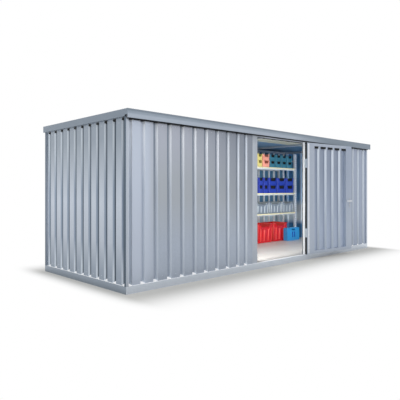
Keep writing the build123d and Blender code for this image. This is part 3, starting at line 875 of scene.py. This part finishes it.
@dataclass
class LeafDetails:
    """Rubber on the leaf's hinge edge, whose black also paints the shade in the gap there; black blocks of
    painted shade at the heads of its recesses; and a near-white strip on the hinge stile, a painted
    highlight.
    """

    leaf: LeafFrame
    seal_thick: float = 0.0036
    seal_inner: float = 0.0042  # distance of the rubber's inner face from the hinge edge
    seal_edge: float = 0.0008
    seal_radius: float = 0.0012
    hinge_clear: float = 0.002  # gap between the rubber and a hinge
    hinge_stile: float = 0.204  # width of the hinge stile
    lock_stile: float = 0.172  # width of the lock stile
    ribs: int = 4
    rib_pitch: float = 0.204
    rib_width: float = 0.072
    shade_block_height: float = 0.034
    shade_block_depth: float = 0.030
    shade_block_inset: float = 0.002  # distance of the shade blocks from the leaf's outer face
    shade_block_drop: float = 0.0005  # distance of the shade blocks from the sheet's upper edge
    shade_block_edge: float = 0.002
    strip_width: float = 0.020
    strip_place: float = 0.036  # place of the strip's middle along the leaf
    strip_rise: float = 0.003
    strip_steps: int = 9  # points over the strip's arch
    strip_margin: float = 0.016  # distance of its ends from the stile's, clear of the header's rubber

    def edge_seal(self) -> Shape:
        """Run rubber up the hinge edge in three lengths, between the hinges' plates.

        Returns:
            The three lengths as one shape.
        """
        leaf, clear = self.leaf, self.hinge_clear
        low, high = corners("door_hinge_stile")[:, 2]
        levels = np.unique(np.round(node_points("hinge_leaf_halves")[:, 2], decimals=4))
        below = levels < (low + high) / 2
        lower, upper = levels[below], levels[~below]
        ends = ((low, lower.min() - clear), (lower.max() + clear, upper.min() - clear),
                (upper.max() + clear, high))
        along = leaf.start + self.seal_inner - self.seal_thick / 2
        return joined([
            slab(self.seal_thick, leaf.thick - MM, top - foot, self.seal_edge, self.seal_radius).placed(
                leaf.at(along, leaf.middle, foot), leaf.standing)
            for foot, top in ends
        ])

    def shade_blocks(self) -> Shape:
        """Set black blocks of painted shade at the head of each recess: whole blocks between the ribs, and a
        narrow one at either end.

        Returns:
            The blocks as one shape.
        """
        leaf = self.leaf
        start, end = leaf.start + self.hinge_stile, leaf.end - self.lock_stile
        ribs = (start + end) / 2 + self.rib_pitch * (np.arange(self.ribs) - (self.ribs - 1) / 2)
        firsts = np.append(start, ribs + self.rib_width / 2) + MM
        lasts = np.append(ribs - self.rib_width / 2, end) - MM
        out = leaf.pin_out + self.shade_block_inset + self.shade_block_depth / 2
        foot = corners("door_sheet")[1, 2] - self.shade_block_height - self.shade_block_drop
        return joined([
            slab(last - first, self.shade_block_depth, self.shade_block_height, self.shade_block_edge).placed(
                leaf.at((first + last) / 2, out, foot), leaf.standing)
            for first, last in zip(firsts, lasts)
        ])

    def strip(self) -> Shape:
        """Carry a shallow crown up the stile: an arch whose rise is the strip's.

        Returns:
            The closed shape.
        """
        leaf = self.leaf
        low, high = corners("door_hinge_stile")[:, 2]
        angle = np.linspace(0, np.pi, self.strip_steps)
        arch = np.stack([np.cos(angle) * self.strip_width / 2, np.sin(angle) * self.strip_rise], axis=-1)
        foot = leaf.at(self.strip_place, leaf.pin_out + leaf.thick, low + self.strip_margin)
        run = prism(arch, high - low - 2 * self.strip_margin)
        return run.placed(foot, np.array([leaf.along, leaf.inward, UP]))

    def build(self, palette: Palette) -> None:
        """Set the leaf's small pieces.

        Args:
            palette: Maker of the pieces.
        """
        # The edge rubber's black also paints the shade in the gap by the hinge edge.
        palette.piece("leaf_edge_seal", self.edge_seal(), "rubber", Body.DOOR)
        palette.piece("leaf_recess_shade", self.shade_blocks(), "foam_and_shade", Body.DOOR)
        palette.piece("leaf_stile_highlight", self.strip(), "stile_highlight", Body.DOOR, "galvanised_sheet")


@dataclass
class DoorwayRubber:
    """Rubber on the doorway's stops."""

    thick: float = 0.0025
    width: float = 0.010
    edge: float = 0.0008
    margin: float = 0.001  # distance of the rubber from the doorway
    stop_face: float = -0.986  # place of the stops' outer face along y

    def build(self, palette: Palette) -> None:
        """Set upright runs on the two posts' stops and a level one on the header's.

        Args:
            palette: Maker of the pieces.
        """
        low, high = corners("door_post_left")
        foot, head = low[2], corners("door_header")[0, 2]
        left, right = high[0], corners("door_post_right")[0, 0]
        middle, inset = self.stop_face - self.thick / 2, self.width / 2 + self.margin
        upright, level = (slab(self.width, self.thick, run, self.edge) for run in (head - foot, right - left))
        pair = upright.repeated(lattice([left - inset, right + inset], [middle], [foot]))
        over = level.placed((right, middle, head + inset), np.array([TO_TOP, TO_REAR, TO_LEFT]))
        palette.piece("doorway_gaskets", joined([pair, over]), "rubber")


@dataclass
class SillLedgeLight:
    """Near-white folded strip on each sill's ledge, in front of the wall sheets and under their grooves:
    painted light from overhead on the ledge.
    """

    thick: float = 0.0015
    inset: float = 0.0005  # distance of its edges from the sill's
    width: float = 0.047
    edge: float = 0.0004

    def build(self, palette: Palette) -> None:
        """Lay a strip along every sill.

        Args:
            palette: Maker of the pieces.
        """
        runs = []
        for wall, side in zip(Wall, SIDES):
            low, high = corners(f"{side}_sill")
            length = np.abs((high - low) @ wall.along) - 2 * self.inset
            face = max(low @ wall.out, high @ wall.out) - self.inset - self.width / 2
            strip = slab(length, self.width, self.thick, self.edge)
            runs.append(strip.placed(wall.out * face + UP * high[2], wall.standing))
        palette.piece("sill_ledge_light", joined(runs), "lit_ledge", slot="galvanised_frame")


@dataclass
class EavesShadowStrip:
    """Black strip under the front fascia, along the head of the front wall: painted shadow under the eaves.
    """

    height: float = 0.022
    depth: float = 0.050
    edge: float = 0.003
    end_gap: float = 0.015  # distance of its ends from the wall's
    clear: float = 0.0015  # gap to the wall and to the rail over it

    def build(self, palette: Palette) -> None:
        """Run the strip between the corner posts.

        Args:
            palette: Maker of the pieces.
        """
        low, high = corners("front_wall_left")
        bar = slab(-2 * (low[0] + self.end_gap), self.depth, self.height, self.edge)
        foot = np.array([0.0, low[1] - self.clear - self.depth / 2, high[2] - self.height - self.clear])
        palette.piece("eaves_shadow_strip", bar.placed(foot, np.eye(3)), "foam_and_shade")


@dataclass(frozen=True)
class MouldedBin:
    """Open bin of moulded plastic: tapered walls, round corners, a turned rim and a lowered front."""

    width: float  # over the rim
    depth: float  # over the rim
    height: float
    mouth_share: float  # share of the front's height that is cut away
    ribs: int  # upright ribs on each side
    rib_rise: float
    rim_out: float  # reach of the rim over the wall
    corner: float
    mouth_width_share: float = 0.64  # share of the width that the cut takes
    wall: float = 0.003
    rim: float = 0.016  # height of the rim
    taper: float = 2.5  # lean of the walls in degrees
    runs: int = 26  # points on each straight run
    straight: float = 0.999  # part of an outward direction along an axis, on a straight run
    rib_crispness: float = 2.5  # steepness of a rib's flanks
    rib_shares: tuple[float, ...] = (0.10, 0.14, 0.84, 0.88)  # heights where a rib starts, is full and ends
    rise_shares: tuple[float, ...] = (0.0, 1.0, 1.0, 0.0)  # shares of the rib's rise there

    def outline(self) -> tuple[np.ndarray, np.ndarray]:
        """Go round the rim: four corners, each with the straight run after it.

        Returns:
            Points of the rim, and the outward direction at each.
        """
        bends = rounded_outline(self.width, self.depth, self.corner).reshape(4, -1, 2)
        signs = np.array([[1, 1], [-1, 1], [-1, -1], [1, -1]])
        centres = signs * (np.array([self.width, self.depth]) / 2 - self.corner)
        share = np.linspace(0, 1, self.runs + 2)[1:-1, None]
        starts, ends = bends[:, -1:], np.roll(bends[:, :1], -1, axis=0)
        sides = np.array([[0.0, 1.0], [-1.0, 0.0], [0.0, -1.0], [1.0, 0.0]])
        points = np.concatenate([bends, starts + (ends - starts) * share], axis=1)
        outward = np.concatenate([(bends - centres[:, None]) / self.corner,
                                  np.repeat(sides[:, None], self.runs, axis=1)], axis=1)
        return points.reshape(-1, 2), outward.reshape(-1, 2)

    def shape(self) -> Shape:
        """Skin over rings that climb the outer wall, turn over the rim and go down inside to the floor.

        Each ring is the rim's outline moved along its outward direction, by the taper times the height that
        is left to the rim. The front's rings are drawn down by a smooth step of the distance to the mouth's
        edge, and a rib is a clipped cosine of the place along the side.

        Returns:
            The closed shape.
        """
        points, outward = self.outline()
        on_side = np.abs(outward) > self.straight
        edge = np.clip((self.width * self.mouth_width_share / 2 - np.abs(points[:, 0])) / self.corner, 0, 1)
        step = np.where(outward[:, 1] < -self.straight, edge ** 2 * (3 - 2 * edge), 0)
        top = self.height - step * self.mouth_share * self.height
        neck = top - self.rim
        place = np.where(on_side[:, 1], points[:, 0] / self.width, points[:, 1] / self.depth)
        wave = np.clip(self.rib_crispness * np.cos(2 * np.pi * self.ribs * place), 0, 1)
        rib = np.where(on_side.any(axis=1), wave, 0) * self.rib_rise * (self.ribs > 0)
        slope = math.tan(math.radians(self.taper))
        lip = self.rim_out / 2

        def ring(level: np.ndarray | float, reach: np.ndarray | float) -> np.ndarray:
            """Outline at a height, moved outwards by a reach."""
            moved = points + outward * np.broadcast_to(reach, len(points))[:, None]
            return np.column_stack([moved, np.broadcast_to(level, len(points))])

        def wall(level: np.ndarray | float) -> np.ndarray | float:
            """Reach of the outer wall at a height."""
            return -self.rim_out - (self.height - level) * slope

        ribbed = [ring(neck * share, wall(neck * share) + rib * rise)
                  for share, rise in zip(self.rib_shares, self.rise_shares)]
        return lofted(np.array([
            ring(0.0, wall(0.0) - self.wall), ring(self.wall, wall(self.wall)), *ribbed,
            ring(neck, wall(neck)), ring(neck, 0.0), ring(top - lip, 0.0), ring(top, -lip),
            ring(top, -self.rim_out - self.wall), ring(neck, wall(neck) - self.wall),
            ring(self.wall, wall(self.wall) - self.wall),
        ]))


@dataclass
class BinRow:
    """Bins side by side on a shelf, in layers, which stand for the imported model's plainer ones."""

    node: str  # node that they stand for
    finish: str
    widths: tuple[float, ...]  # pitch of each bin, from the right end leftwards
    height: float
    layers: int = 1
    mouth_share: float = 0.42  # share of the front that is cut away
    ribs: int = 0
    rib_rise: float = 0.003
    rim_out: float = 0.004  # reach of the rim over the wall, more than a rib's rise
    shade_fill: bool = False  # True where black blocks fill the bins, as painted shade inside them
    gap: float = 0.005  # gap between neighbours
    lift: float = 0.0004  # gap between layers
    corner: float = 0.020  # radius of a low bin's corners
    tall: float = 0.17  # height from which the corners gain
    corner_share: float = 0.04  # gain of a taller bin's corners, as a share of what it has over that height
    set_back: float = 0.018  # distance of the shade blocks from a bin's rim
    shade_fill_share: float = 0.93  # height of the shade blocks, as a share of the bin's
    shade_fill_lift: float = 0.006
    shade_fill_edge: float = 0.004
    shade_fill_corner: float = 0.010

    def build(self, palette: Palette) -> None:
        """Lay the row and let it stand for its node.

        Args:
            palette: Maker of the pieces.
        """
        low, high = corners(self.node)
        deep = high[1] - low[1]
        pitches = np.array(self.widths)
        middles = high[0] + self.gap / 2 - np.append(0.0, np.cumsum(pitches)[:-1]) - pitches / 2
        levels = low[2] + np.arange(self.layers) * (self.height + self.lift)
        corner = self.corner + self.corner_share * max(self.height - self.tall, 0.0)
        bins, shade_fill = [], []
        for pitch in np.unique(pitches):
            wide = pitch - self.gap
            places = lattice(middles[pitches == pitch], [(low[1] + high[1]) / 2], levels)
            mould = MouldedBin(wide, deep, self.height, self.mouth_share, self.ribs, self.rib_rise,
                               self.rim_out, corner)
            bins.append(mould.shape().repeated(places))
            if self.shade_fill:
                block = slab(wide - 2 * self.set_back, deep - 2 * self.set_back,
                             self.height * self.shade_fill_share, self.shade_fill_edge, self.shade_fill_corner)
                shade_fill.append(block.repeated(places + UP * self.shade_fill_lift))
        if shade_fill:
            palette.piece(f"{self.node}_contents", joined(shade_fill), "foam_and_shade")
        row = palette.piece(f"{self.node}_moulded", joined(bins), self.finish, slot=f"{self.finish}_plastic")
        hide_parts(self.node)


BIN_ROWS = (
    BinRow("teal_boxes", "teal", (0.209,) * 4, 0.136, 2, shade_fill=True),
    BinRow("orange_boxes", "orange", (0.240,), 0.136, 2),
    BinRow("yellow_boxes", "yellow", (0.176,) * 4, 0.136, 2),
    BinRow("blue_boxes", "blue", (0.310, 0.310, 0.310, 0.172, 0.172, 0.310, 0.172), 0.165, 2, shade_fill=True),
    BinRow("grey_tubs", "grey", (0.455,) * 4, 0.240, 1, 0.14, 4, 0.011, 0.013),
    BinRow("red_crates", "red", (0.526,) * 3, 0.395, 1, 0.14, 4, 0.015, 0.017),
)


@dataclass
class LockDetails:
    """Key cylinders and screws of the lock plates, the forend on the free edge and the strike on the post."""

    leaf: LeafFrame
    plate: float = 0.003  # thickness of a lock plate
    plate_drop: float = 0.036  # distance of the plate's middle under the spindle
    key_drop: float = 0.072  # distance of the key hole under the spindle
    cylinder_radius: float = 0.0078
    cylinder_rise: float = 0.002  # height of a cylinder over its plate
    cylinder_sides: int = 24
    slit: Vector = (0.0016, 0.009, 0.0006)  # width, height and depth of a key's slit
    slit_edge: float = 0.0002
    screw_radius: float = 0.0045
    screw_rise: float = 0.0018
    screw_spread: float = 0.078  # distance of a plate's screws from its middle
    forend: Vector = (0.024, 0.220, 0.0014)  # width, height and thickness of the forend and the strike
    forend_edge: float = 0.0004
    round_share: float = 0.49  # radius of their round ends, as a share of the width

    def on_faces(self, piece: Shape, rise: float, height: float) -> Shape:
        """Set a piece on the leaf's inner face and its like on the outer one, in line with the spindle.

        Args:
            piece: The piece, on local z = 0.
            rise: Distance of its foot from the leaf's face.
            height: Height of its middle.

        Returns:
            The pair as one shape.
        """
        leaf = self.leaf
        inner = leaf.at(leaf.reach, leaf.pin_out + leaf.thick + rise, height)
        outer = leaf.at(leaf.reach, leaf.pin_out - rise, height)
        return joined([piece.placed(inner, leaf.facing), piece.placed(outer, leaf.backing)])

    def build(self, palette: Palette) -> None:
        """Set the lock's small pieces.

        Args:
            palette: Maker of the pieces.
        """
        leaf, radius, rise = self.leaf, self.cylinder_radius, self.plate + self.cylinder_rise
        key, middle = leaf.spindle[2] - self.key_drop, leaf.spindle[2] - self.plate_drop
        profile = [(0.0, 0.0), (radius, 0.0), (radius, rise - MM), (radius - MM, rise), (0.0, rise)]
        cylinders = self.on_faces(turned(profile, self.cylinder_sides), 0.0, key)
        palette.piece("key_cylinders", cylinders, "lever", Body.DOOR, "lock_plate")
        # The slits are black faces: painted shade in the key ways.
        slits = self.on_faces(slab(*self.slit, self.slit_edge), rise - self.slit_edge, key)
        palette.piece("key_slits", slits, "rubber", Body.DOOR)
        head = screw_head(self.screw_radius, self.screw_rise)
        screws = [self.on_faces(head, self.plate, middle + side * self.screw_spread) for side in (-1, 1)]
        palette.piece("lock_screws", joined(screws), "lever", Body.DOOR, "lock_plate")
        face = slab(*self.forend, self.forend_edge, self.forend[0] * self.round_share)
        forend = face.placed(leaf.at(leaf.end, leaf.middle, middle), np.array([-leaf.inward, UP, leaf.along]))
        palette.piece("lock_forend", forend, "plate", Body.DOOR, "lock_plate")
        opposite = (corners("door_header")[0, 0], leaf.pin[1] + leaf.middle, middle)
        strike = face.placed(opposite, np.array([TO_REAR, TO_TOP, TO_RIGHT]))
        palette.piece("lock_strike", strike, "plate", slot="lock_plate")


@dataclass
class HingeDetails:
    """Screws in the hinges' plates on the post and on the leaf."""

    leaf: LeafFrame
    radius: float = 0.006
    rise: float = 0.003
    spread: float = 0.046  # distance between the screws of a plate
    post_share: float = 0.6  # place of the screws across the post's plate
    leaf_place: float = 0.018  # place of the screws along the leaf
    plate: float = 0.004  # thickness of a plate
    plate_height: float = 0.150

    def build(self, palette: Palette) -> None:
        """Set three screws in each plate.

        Args:
            palette: Maker of the pieces.
        """
        leaf, head = self.leaf, screw_head(self.radius, self.rise)
        low, high = corners("hinge_post_halves")
        middles = np.array([low[2] + self.plate_height / 2, high[2] - self.plate_height / 2])
        heights = (middles[:, None] + self.spread * np.array([-1.0, 0.0, 1.0])).ravel()
        right = corners("door_header")[1, 0]
        face = corners("door_post_right")[0, 1] - self.plate
        places = lattice([right + self.post_share * (high[0] - right)], [face], heights)
        on_post = head.placed(ORIGIN, Wall.FRONT.facing).repeated(places)
        palette.piece("hinge_post_screws", on_post, "lever", slot="hinge_steel")
        places = np.array([leaf.at(self.leaf_place, leaf.pin_out - self.plate, height) for height in heights])
        on_leaf = head.placed(ORIGIN, leaf.backing).repeated(places)
        palette.piece("hinge_leaf_screws", on_leaf, "lever", Body.DOOR, "hinge_steel")


@dataclass
class Ceiling:
    """Fleece panels under the roof sheet, between the bearers; the rear ones are darker, as painted shade."""

    thick: float = 0.005
    gap: float = 0.004  # gap between a panel and what is beside it
    split: float = 0.5  # least distance between two bearers
    joint: float = -0.13  # place across the cabin where the front panels meet the rear ones

    def build(self, palette: Palette) -> None:
        """Hang a panel in each bay, from the rail or bearer on its left to the one on its right.

        Args:
            palette: Maker of the pieces.
        """
        front, rear, left, right = (corners(f"{side}_top_rail") for side in SIDES)
        edges = np.unique(np.round(node_points("roof_bearers")[:, 0], decimals=4))
        breaks = np.flatnonzero(np.diff(edges) > self.split)
        starts = np.concatenate([left[1, :1], edges[breaks], edges[-1:]]) + self.gap
        ends = np.concatenate([edges[:1], edges[breaks + 1], right[0, :1]]) - self.gap
        base = corners("roof_sheet")[0, 2] - self.thick - MM
        halves = {"fleece": (front[1, 1] + self.gap, self.joint - self.gap),
                  "shaded_fleece": (self.joint, rear[0, 1] - self.gap)}
        for finish, (first, last) in halves.items():
            panels = [slab(end - start, last - first, self.thick, MM).placed(
                ((start + end) / 2, (first + last) / 2, base), np.eye(3)) for start, end in zip(starts, ends)]
            palette.piece(f"ceiling_{finish}", joined(panels), finish)


@dataclass
class RackDetails:
    """Slots of the rack's uprights: thin black faces, painted shade standing in for the holes."""

    width: float = 0.012
    height: float = 0.022
    pitch: float = 0.050
    upright: float = 0.045  # width of an upright
    margin: float = 0.060  # distance from an upright's end to its first slot
    rise: float = 0.0004  # height of a slot's black face over the steel
    edge: float = 0.0001
    round_share: float = 0.45  # radius of a slot's corners, as a share of its width

    def build(self, palette: Palette) -> None:
        """Set a column of slots on the front of each upright.

        Args:
            palette: Maker of the pieces.
        """
        low, high = corners("rack_end_frames")
        slot = slab(self.width, self.height, 2 * self.rise, self.edge, self.width * self.round_share)
        across = [low[0] + self.upright / 2, high[0] - self.upright / 2]
        levels = np.arange(low[2] + self.margin, high[2] - self.margin, self.pitch)
        slots = slot.placed(ORIGIN, Wall.FRONT.facing).repeated(lattice(across, [low[1] + self.rise], levels))
        palette.piece("rack_slots", slots, "foam_and_shade")


@dataclass
class DeckDetails:
    """Screws that hold the deck, in rows."""

    radius: float = 0.007
    rise: float = 0.0015
    columns: int = 11  # screws along the cabin
    rows: int = 4  # screws across the cabin
    margin: float = 0.045  # distance of the outer screws from the deck's edges

    def build(self, palette: Palette) -> None:
        """Set the heads on a grid over the deck.

        Args:
            palette: Maker of the pieces.
        """
        low, high = corners("floor_deck")
        across, deep = (np.linspace(low[axis] + self.margin, high[axis] - self.margin, count)
                        for axis, count in enumerate((self.columns, self.rows)))
        heads = screw_head(self.radius, self.rise).repeated(lattice(across, deep, high[2:]))
        palette.piece("deck_screws", heads, "plate")


@dataclass
class CaseDetails:
    """Dark latch straps and a moulded panel on the front of the light-blue case."""

    panel_shares: tuple[float, float] = (0.74, 0.46)  # width and height of the panel, as shares of the case
    panel_share: float = 0.36  # height of the panel's middle, as a share of the case
    panel_rise: float = 0.004
    panel_corner: float = 0.02
    latch: Vector = (0.024, 0.120, 0.010)  # width, height and depth of a latch
    latch_corner: float = 0.006
    latch_share: float = 0.16  # place of the latches, as a share of half the width
    latch_lift_share: float = 0.1  # their height over the panel's middle, as a share of the case
    edge: float = 0.002

    def build(self, palette: Palette) -> None:
        """Set the panel and the latches on the case's front.

        Args:
            palette: Maker of the pieces.
        """
        low, high = corners("blue_case")
        wide, tall = (high - low)[[0, 2]]
        axes = Wall.FRONT.facing
        middle = np.array([(low[0] + high[0]) / 2, low[1], low[2] + self.panel_share * tall])
        panel = slab(wide * self.panel_shares[0], tall * self.panel_shares[1], self.panel_rise, self.edge,
                     self.panel_corner)
        palette.piece("case_panel", panel.placed(middle, axes), "light_blue", slot="light_blue_plastic")
        latch = slab(*self.latch, self.edge, self.latch_corner).placed(ORIGIN, axes)
        apart = np.outer([-1, 1], Wall.FRONT.along) * wide / 2 * self.latch_share
        latches = latch.repeated(middle + apart + UP * self.latch_lift_share * tall)
        palette.piece("case_latches", latches, "blue", slot="blue_plastic")


@dataclass
class PhotoCamera:
    """Level camera at the photo's angle."""

    place: Vector = (-6.0129, -5.3737, 1.2187)
    heading: float = 44.0026  # degrees from +Y towards +X
    focal_pixels: float = 449.662
    horizon_pixels: float = 189.324  # height of the horizon from the image's top
    image_pixels: float = 400.0  # side of the square image
    sensor_mm: float = 36.0
    far: float = 200.0  # distance up to which the lens sees

    def build(self) -> None:
        """Add the camera and make it the scene's own."""
        data = bpy.data.cameras.new("photo_camera")
        data.sensor_width = self.sensor_mm
        data.lens = self.sensor_mm * self.focal_pixels / self.image_pixels
        data.shift_y = (self.horizon_pixels - self.image_pixels / 2) / self.image_pixels
        data.clip_end = self.far
        camera = bpy.data.objects.new("photo_camera", data)
        camera.location = self.place
        camera.rotation_euler = (math.radians(90), 0.0, -math.radians(self.heading))
        bpy.context.scene.collection.objects.link(camera)
        bpy.context.scene.camera = camera


def hang_lamp(name: str, kind: str, way: Vector) -> bpy.types.Object:
    """Hang a lamp whose light travels a given way: tilt from straight down, then heading.

    Args:
        name: Name of the lamp.
        kind: Its type.
        way: Direction that its light travels.

    Returns:
        The lamp's object.
    """
    holder = bpy.data.objects.new(name, bpy.data.lights.new(name, kind))
    tilt = math.atan2(math.hypot(way[0], way[1]), -way[2])
    holder.rotation_euler = (tilt, 0.0, math.atan2(way[1], way[0]) - math.radians(90))
    bpy.context.scene.collection.objects.link(holder)
    return holder


@dataclass(frozen=True)
class SoftPanel:
    """Soft lamp that the lens doesn't see."""

    name: str
    middle: Vector
    way: Vector  # direction that its light travels
    wide: float
    tall: float
    radiance: float  # brightness of its face

    def hang(self) -> None:
        """Add the lamp, of pi times its area times its radiance in power."""
        holder = hang_lamp(self.name, "AREA", self.way)
        holder.location = self.middle
        holder.visible_camera = False
        holder.data.shape = "RECTANGLE"
        holder.data.size = self.wide
        holder.data.size_y = self.tall
        holder.data.energy = math.pi * self.wide * self.tall * self.radiance


@dataclass
class Studio:
    """Pale floor with a painted shadow at the cabin's foot, white backdrop and soft lamps."""

    white: str = "#ffffff"
    ambient: float = 0.44  # strength of the even light from all round
    top: float = 1.8  # strength of the broad lamp from overhead
    top_spread: float = 90.0  # its width in degrees
    top_way: Vector = (0.12, 0.2, -1.0)
    softboxes: tuple[SoftPanel, ...] = (
        SoftPanel("softbox_1", (-10.2, -6.0, 2.5), (0.87, 0.5, -0.1), 5.0, 6.0, 1.2),
        SoftPanel("softbox_2", (-10.0, 11.0, 3.5), (0.6, -0.8, -0.1), 14.0, 7.0, 0.45),
        SoftPanel("softbox_3", (4.5, -12.0, 3.0), (-0.45, 0.9, -0.1), 6.0, 6.0, 0.3),
    )
    inner: Vector = (5.4, 1.7, 2.0)  # width, height and radiance of the panel behind the front wall
    inner_gap: float = 0.03  # its distance behind the header
    reveal: Vector = (0.2, 1.7, 8.0)  # width, height and radiance of the panel behind the left door post
    reveal_place: tuple[float, float] = (0.15, 0.18)  # its place across and behind the header's left end
    reveal_way: Vector = (0.985, -0.17, 0.0)
    panel_lift: float = 0.06  # height of these two over the doorway's middle
    floor_reach: float = 60.0  # half the floor's side
    floor_tone: str = "#f2f2f2"
    painted_foot_shadow: str = "#a6a6a2"  # painted shadow tone of the floor at the cabin's foot
    foot_half: float = 1.046  # half the depth of the cabin's foot
    shadow_reach: tuple[float, float] = (0.34, 0.95)  # widths of the painted shadow's fade at the cabin's ends and sides
    shadow_middle: Vector = (0.0, -0.1, 0.0)  # middle of the painted shadow
    shadow_lift: float = 0.22  # share of the backdrop's white in the painted shadow's darkest part

    def seen_directly(self, tree: Tree) -> Socket:
        """Tell the rays that see the stage from those that light it.

        Args:
            tree: Tree that asks.

        Returns:
            One where a ray from the lens, a reflection or a clear piece arrives, and nothing elsewhere.
        """
        path = add_node(tree, "LightPath").outputs
        first = add_node(tree, "Math", {"operation": "MAXIMUM"},
                         {0: path["Is Camera Ray"], 1: path["Is Glossy Ray"]})
        both = add_node(tree, "Math", {"operation": "MAXIMUM"}, {0: first, 1: path["Is Transmission Ray"]})
        return both.outputs[0]

    def backdrop(self) -> None:
        """White where it is seen, and an even soft light elsewhere."""
        world = bpy.data.worlds.new("studio_backdrop")
        world.use_nodes = True
        tree = world.node_tree
        tree.nodes.clear()
        strength = add_node(tree, "MapRange", {3: self.ambient, 4: 1.0}, {"Value": self.seen_directly(tree)})
        light = add_node(tree, "Background", {"Color": linear(self.white)}, {"Strength": strength})
        add_node(tree, "OutputWorld", links={"Surface": light})
        bpy.context.scene.world = world

    def floor(self) -> None:
        """Flat floor with a painted shadow at the cabin's foot, over the real one, that turns white away from
        it.

        The distance is that of a rounded box: the length of what each coordinate has over half the size,
        in shares of the reach.
        """
        made, tree, place = new_tree("studio_floor")
        steps = (("SUBTRACT", self.shadow_middle), ("ABSOLUTE", ORIGIN),
                 ("SUBTRACT", (CAD_BOUNDS[1][0], self.foot_half, 0.0)), ("MAXIMUM", ORIGIN),
                 ("DIVIDE", (*self.shadow_reach, 1.0)), ("LENGTH", ORIGIN))
        beyond = place
        for operation, value in steps:
            beyond = add_node(tree, "VectorMath", {"operation": operation, 1: value}, {0: beyond})
        fade = add_node(tree, "MapRange", {"interpolation_type": "SMOOTHSTEP"},
                        {"Value": beyond.outputs["Value"]})
        tones = {"data_type": "RGBA", 6: linear(self.painted_foot_shadow), 7: linear(self.floor_tone)}
        tone = add_node(tree, "Mix", tones, {"Factor": fade})
        matt = add_node(tree, "BsdfDiffuse", links={"Color": tone.outputs[2]})
        glow = add_node(tree, "Emission", {"Color": linear(self.white), "Strength": 1.0})
        lift = add_node(tree, "MapRange", {3: self.shadow_lift, 4: 1.0}, {"Value": fade})
        share = add_node(tree, "Math", {"operation": "MULTIPLY"}, {0: lift, 1: self.seen_directly(tree)})
        close_tree(tree, add_node(tree, "MixShader", links={0: share, 1: matt, 2: glow}))
        ends = (-self.floor_reach, self.floor_reach)
        mesh = bpy.data.meshes.new("studio_floor")
        mesh.from_pydata(lattice(ends, ends, [0.0]).tolist(), [], [(0, 1, 3, 2)])
        mesh.materials.append(made)
        floor = bpy.data.objects.new("studio_floor", mesh)
        bpy.context.scene.collection.objects.link(floor)

    def lamps(self) -> None:
        """Broad light from overhead, soft panels outside, and two inside that the shut door hides."""
        top = hang_lamp("top_lamp", "SUN", self.top_way).data
        top.energy = self.top
        top.angle = math.radians(self.top_spread)
        low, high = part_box("door_header")
        level = low[2] / 2 + self.panel_lift
        behind = (0.0, high[1] + self.inner_gap, level)
        beside = (low[0] + self.reveal_place[0], high[1] + self.reveal_place[1], level)
        inside = (SoftPanel("inner_panel", behind, TO_REAR, *self.inner),
                  SoftPanel("reveal_panel", beside, self.reveal_way, *self.reveal))
        for panel in (*self.softboxes, *inside):
            panel.hang()

    def build(self) -> None:
        """Set the stage and the view's colour handling."""
        bpy.context.scene.view_settings.view_transform = "Standard"
        self.backdrop()
        self.floor()
        self.lamps()


def main() -> None:
    """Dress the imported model, add its details, and set the stage."""
    logging.basicConfig(level=logging.INFO, format="%(name)s: %(message)s")
    palette = Palette()
    palette.dress_nodes()
    leaf = LeafFrame()
    details = (WallDetails(), SillLedgeLight(), EavesShadowStrip(), LeafDetails(leaf), DoorwayRubber(),
               LockDetails(leaf), HingeDetails(leaf), Ceiling(), RackDetails(), DeckDetails(), CaseDetails(),
               *BIN_ROWS)
    for detail in details:
        detail.build(palette)
    Studio().build()
    PhotoCamera().build()


if __name__ == "__main__":
    main()
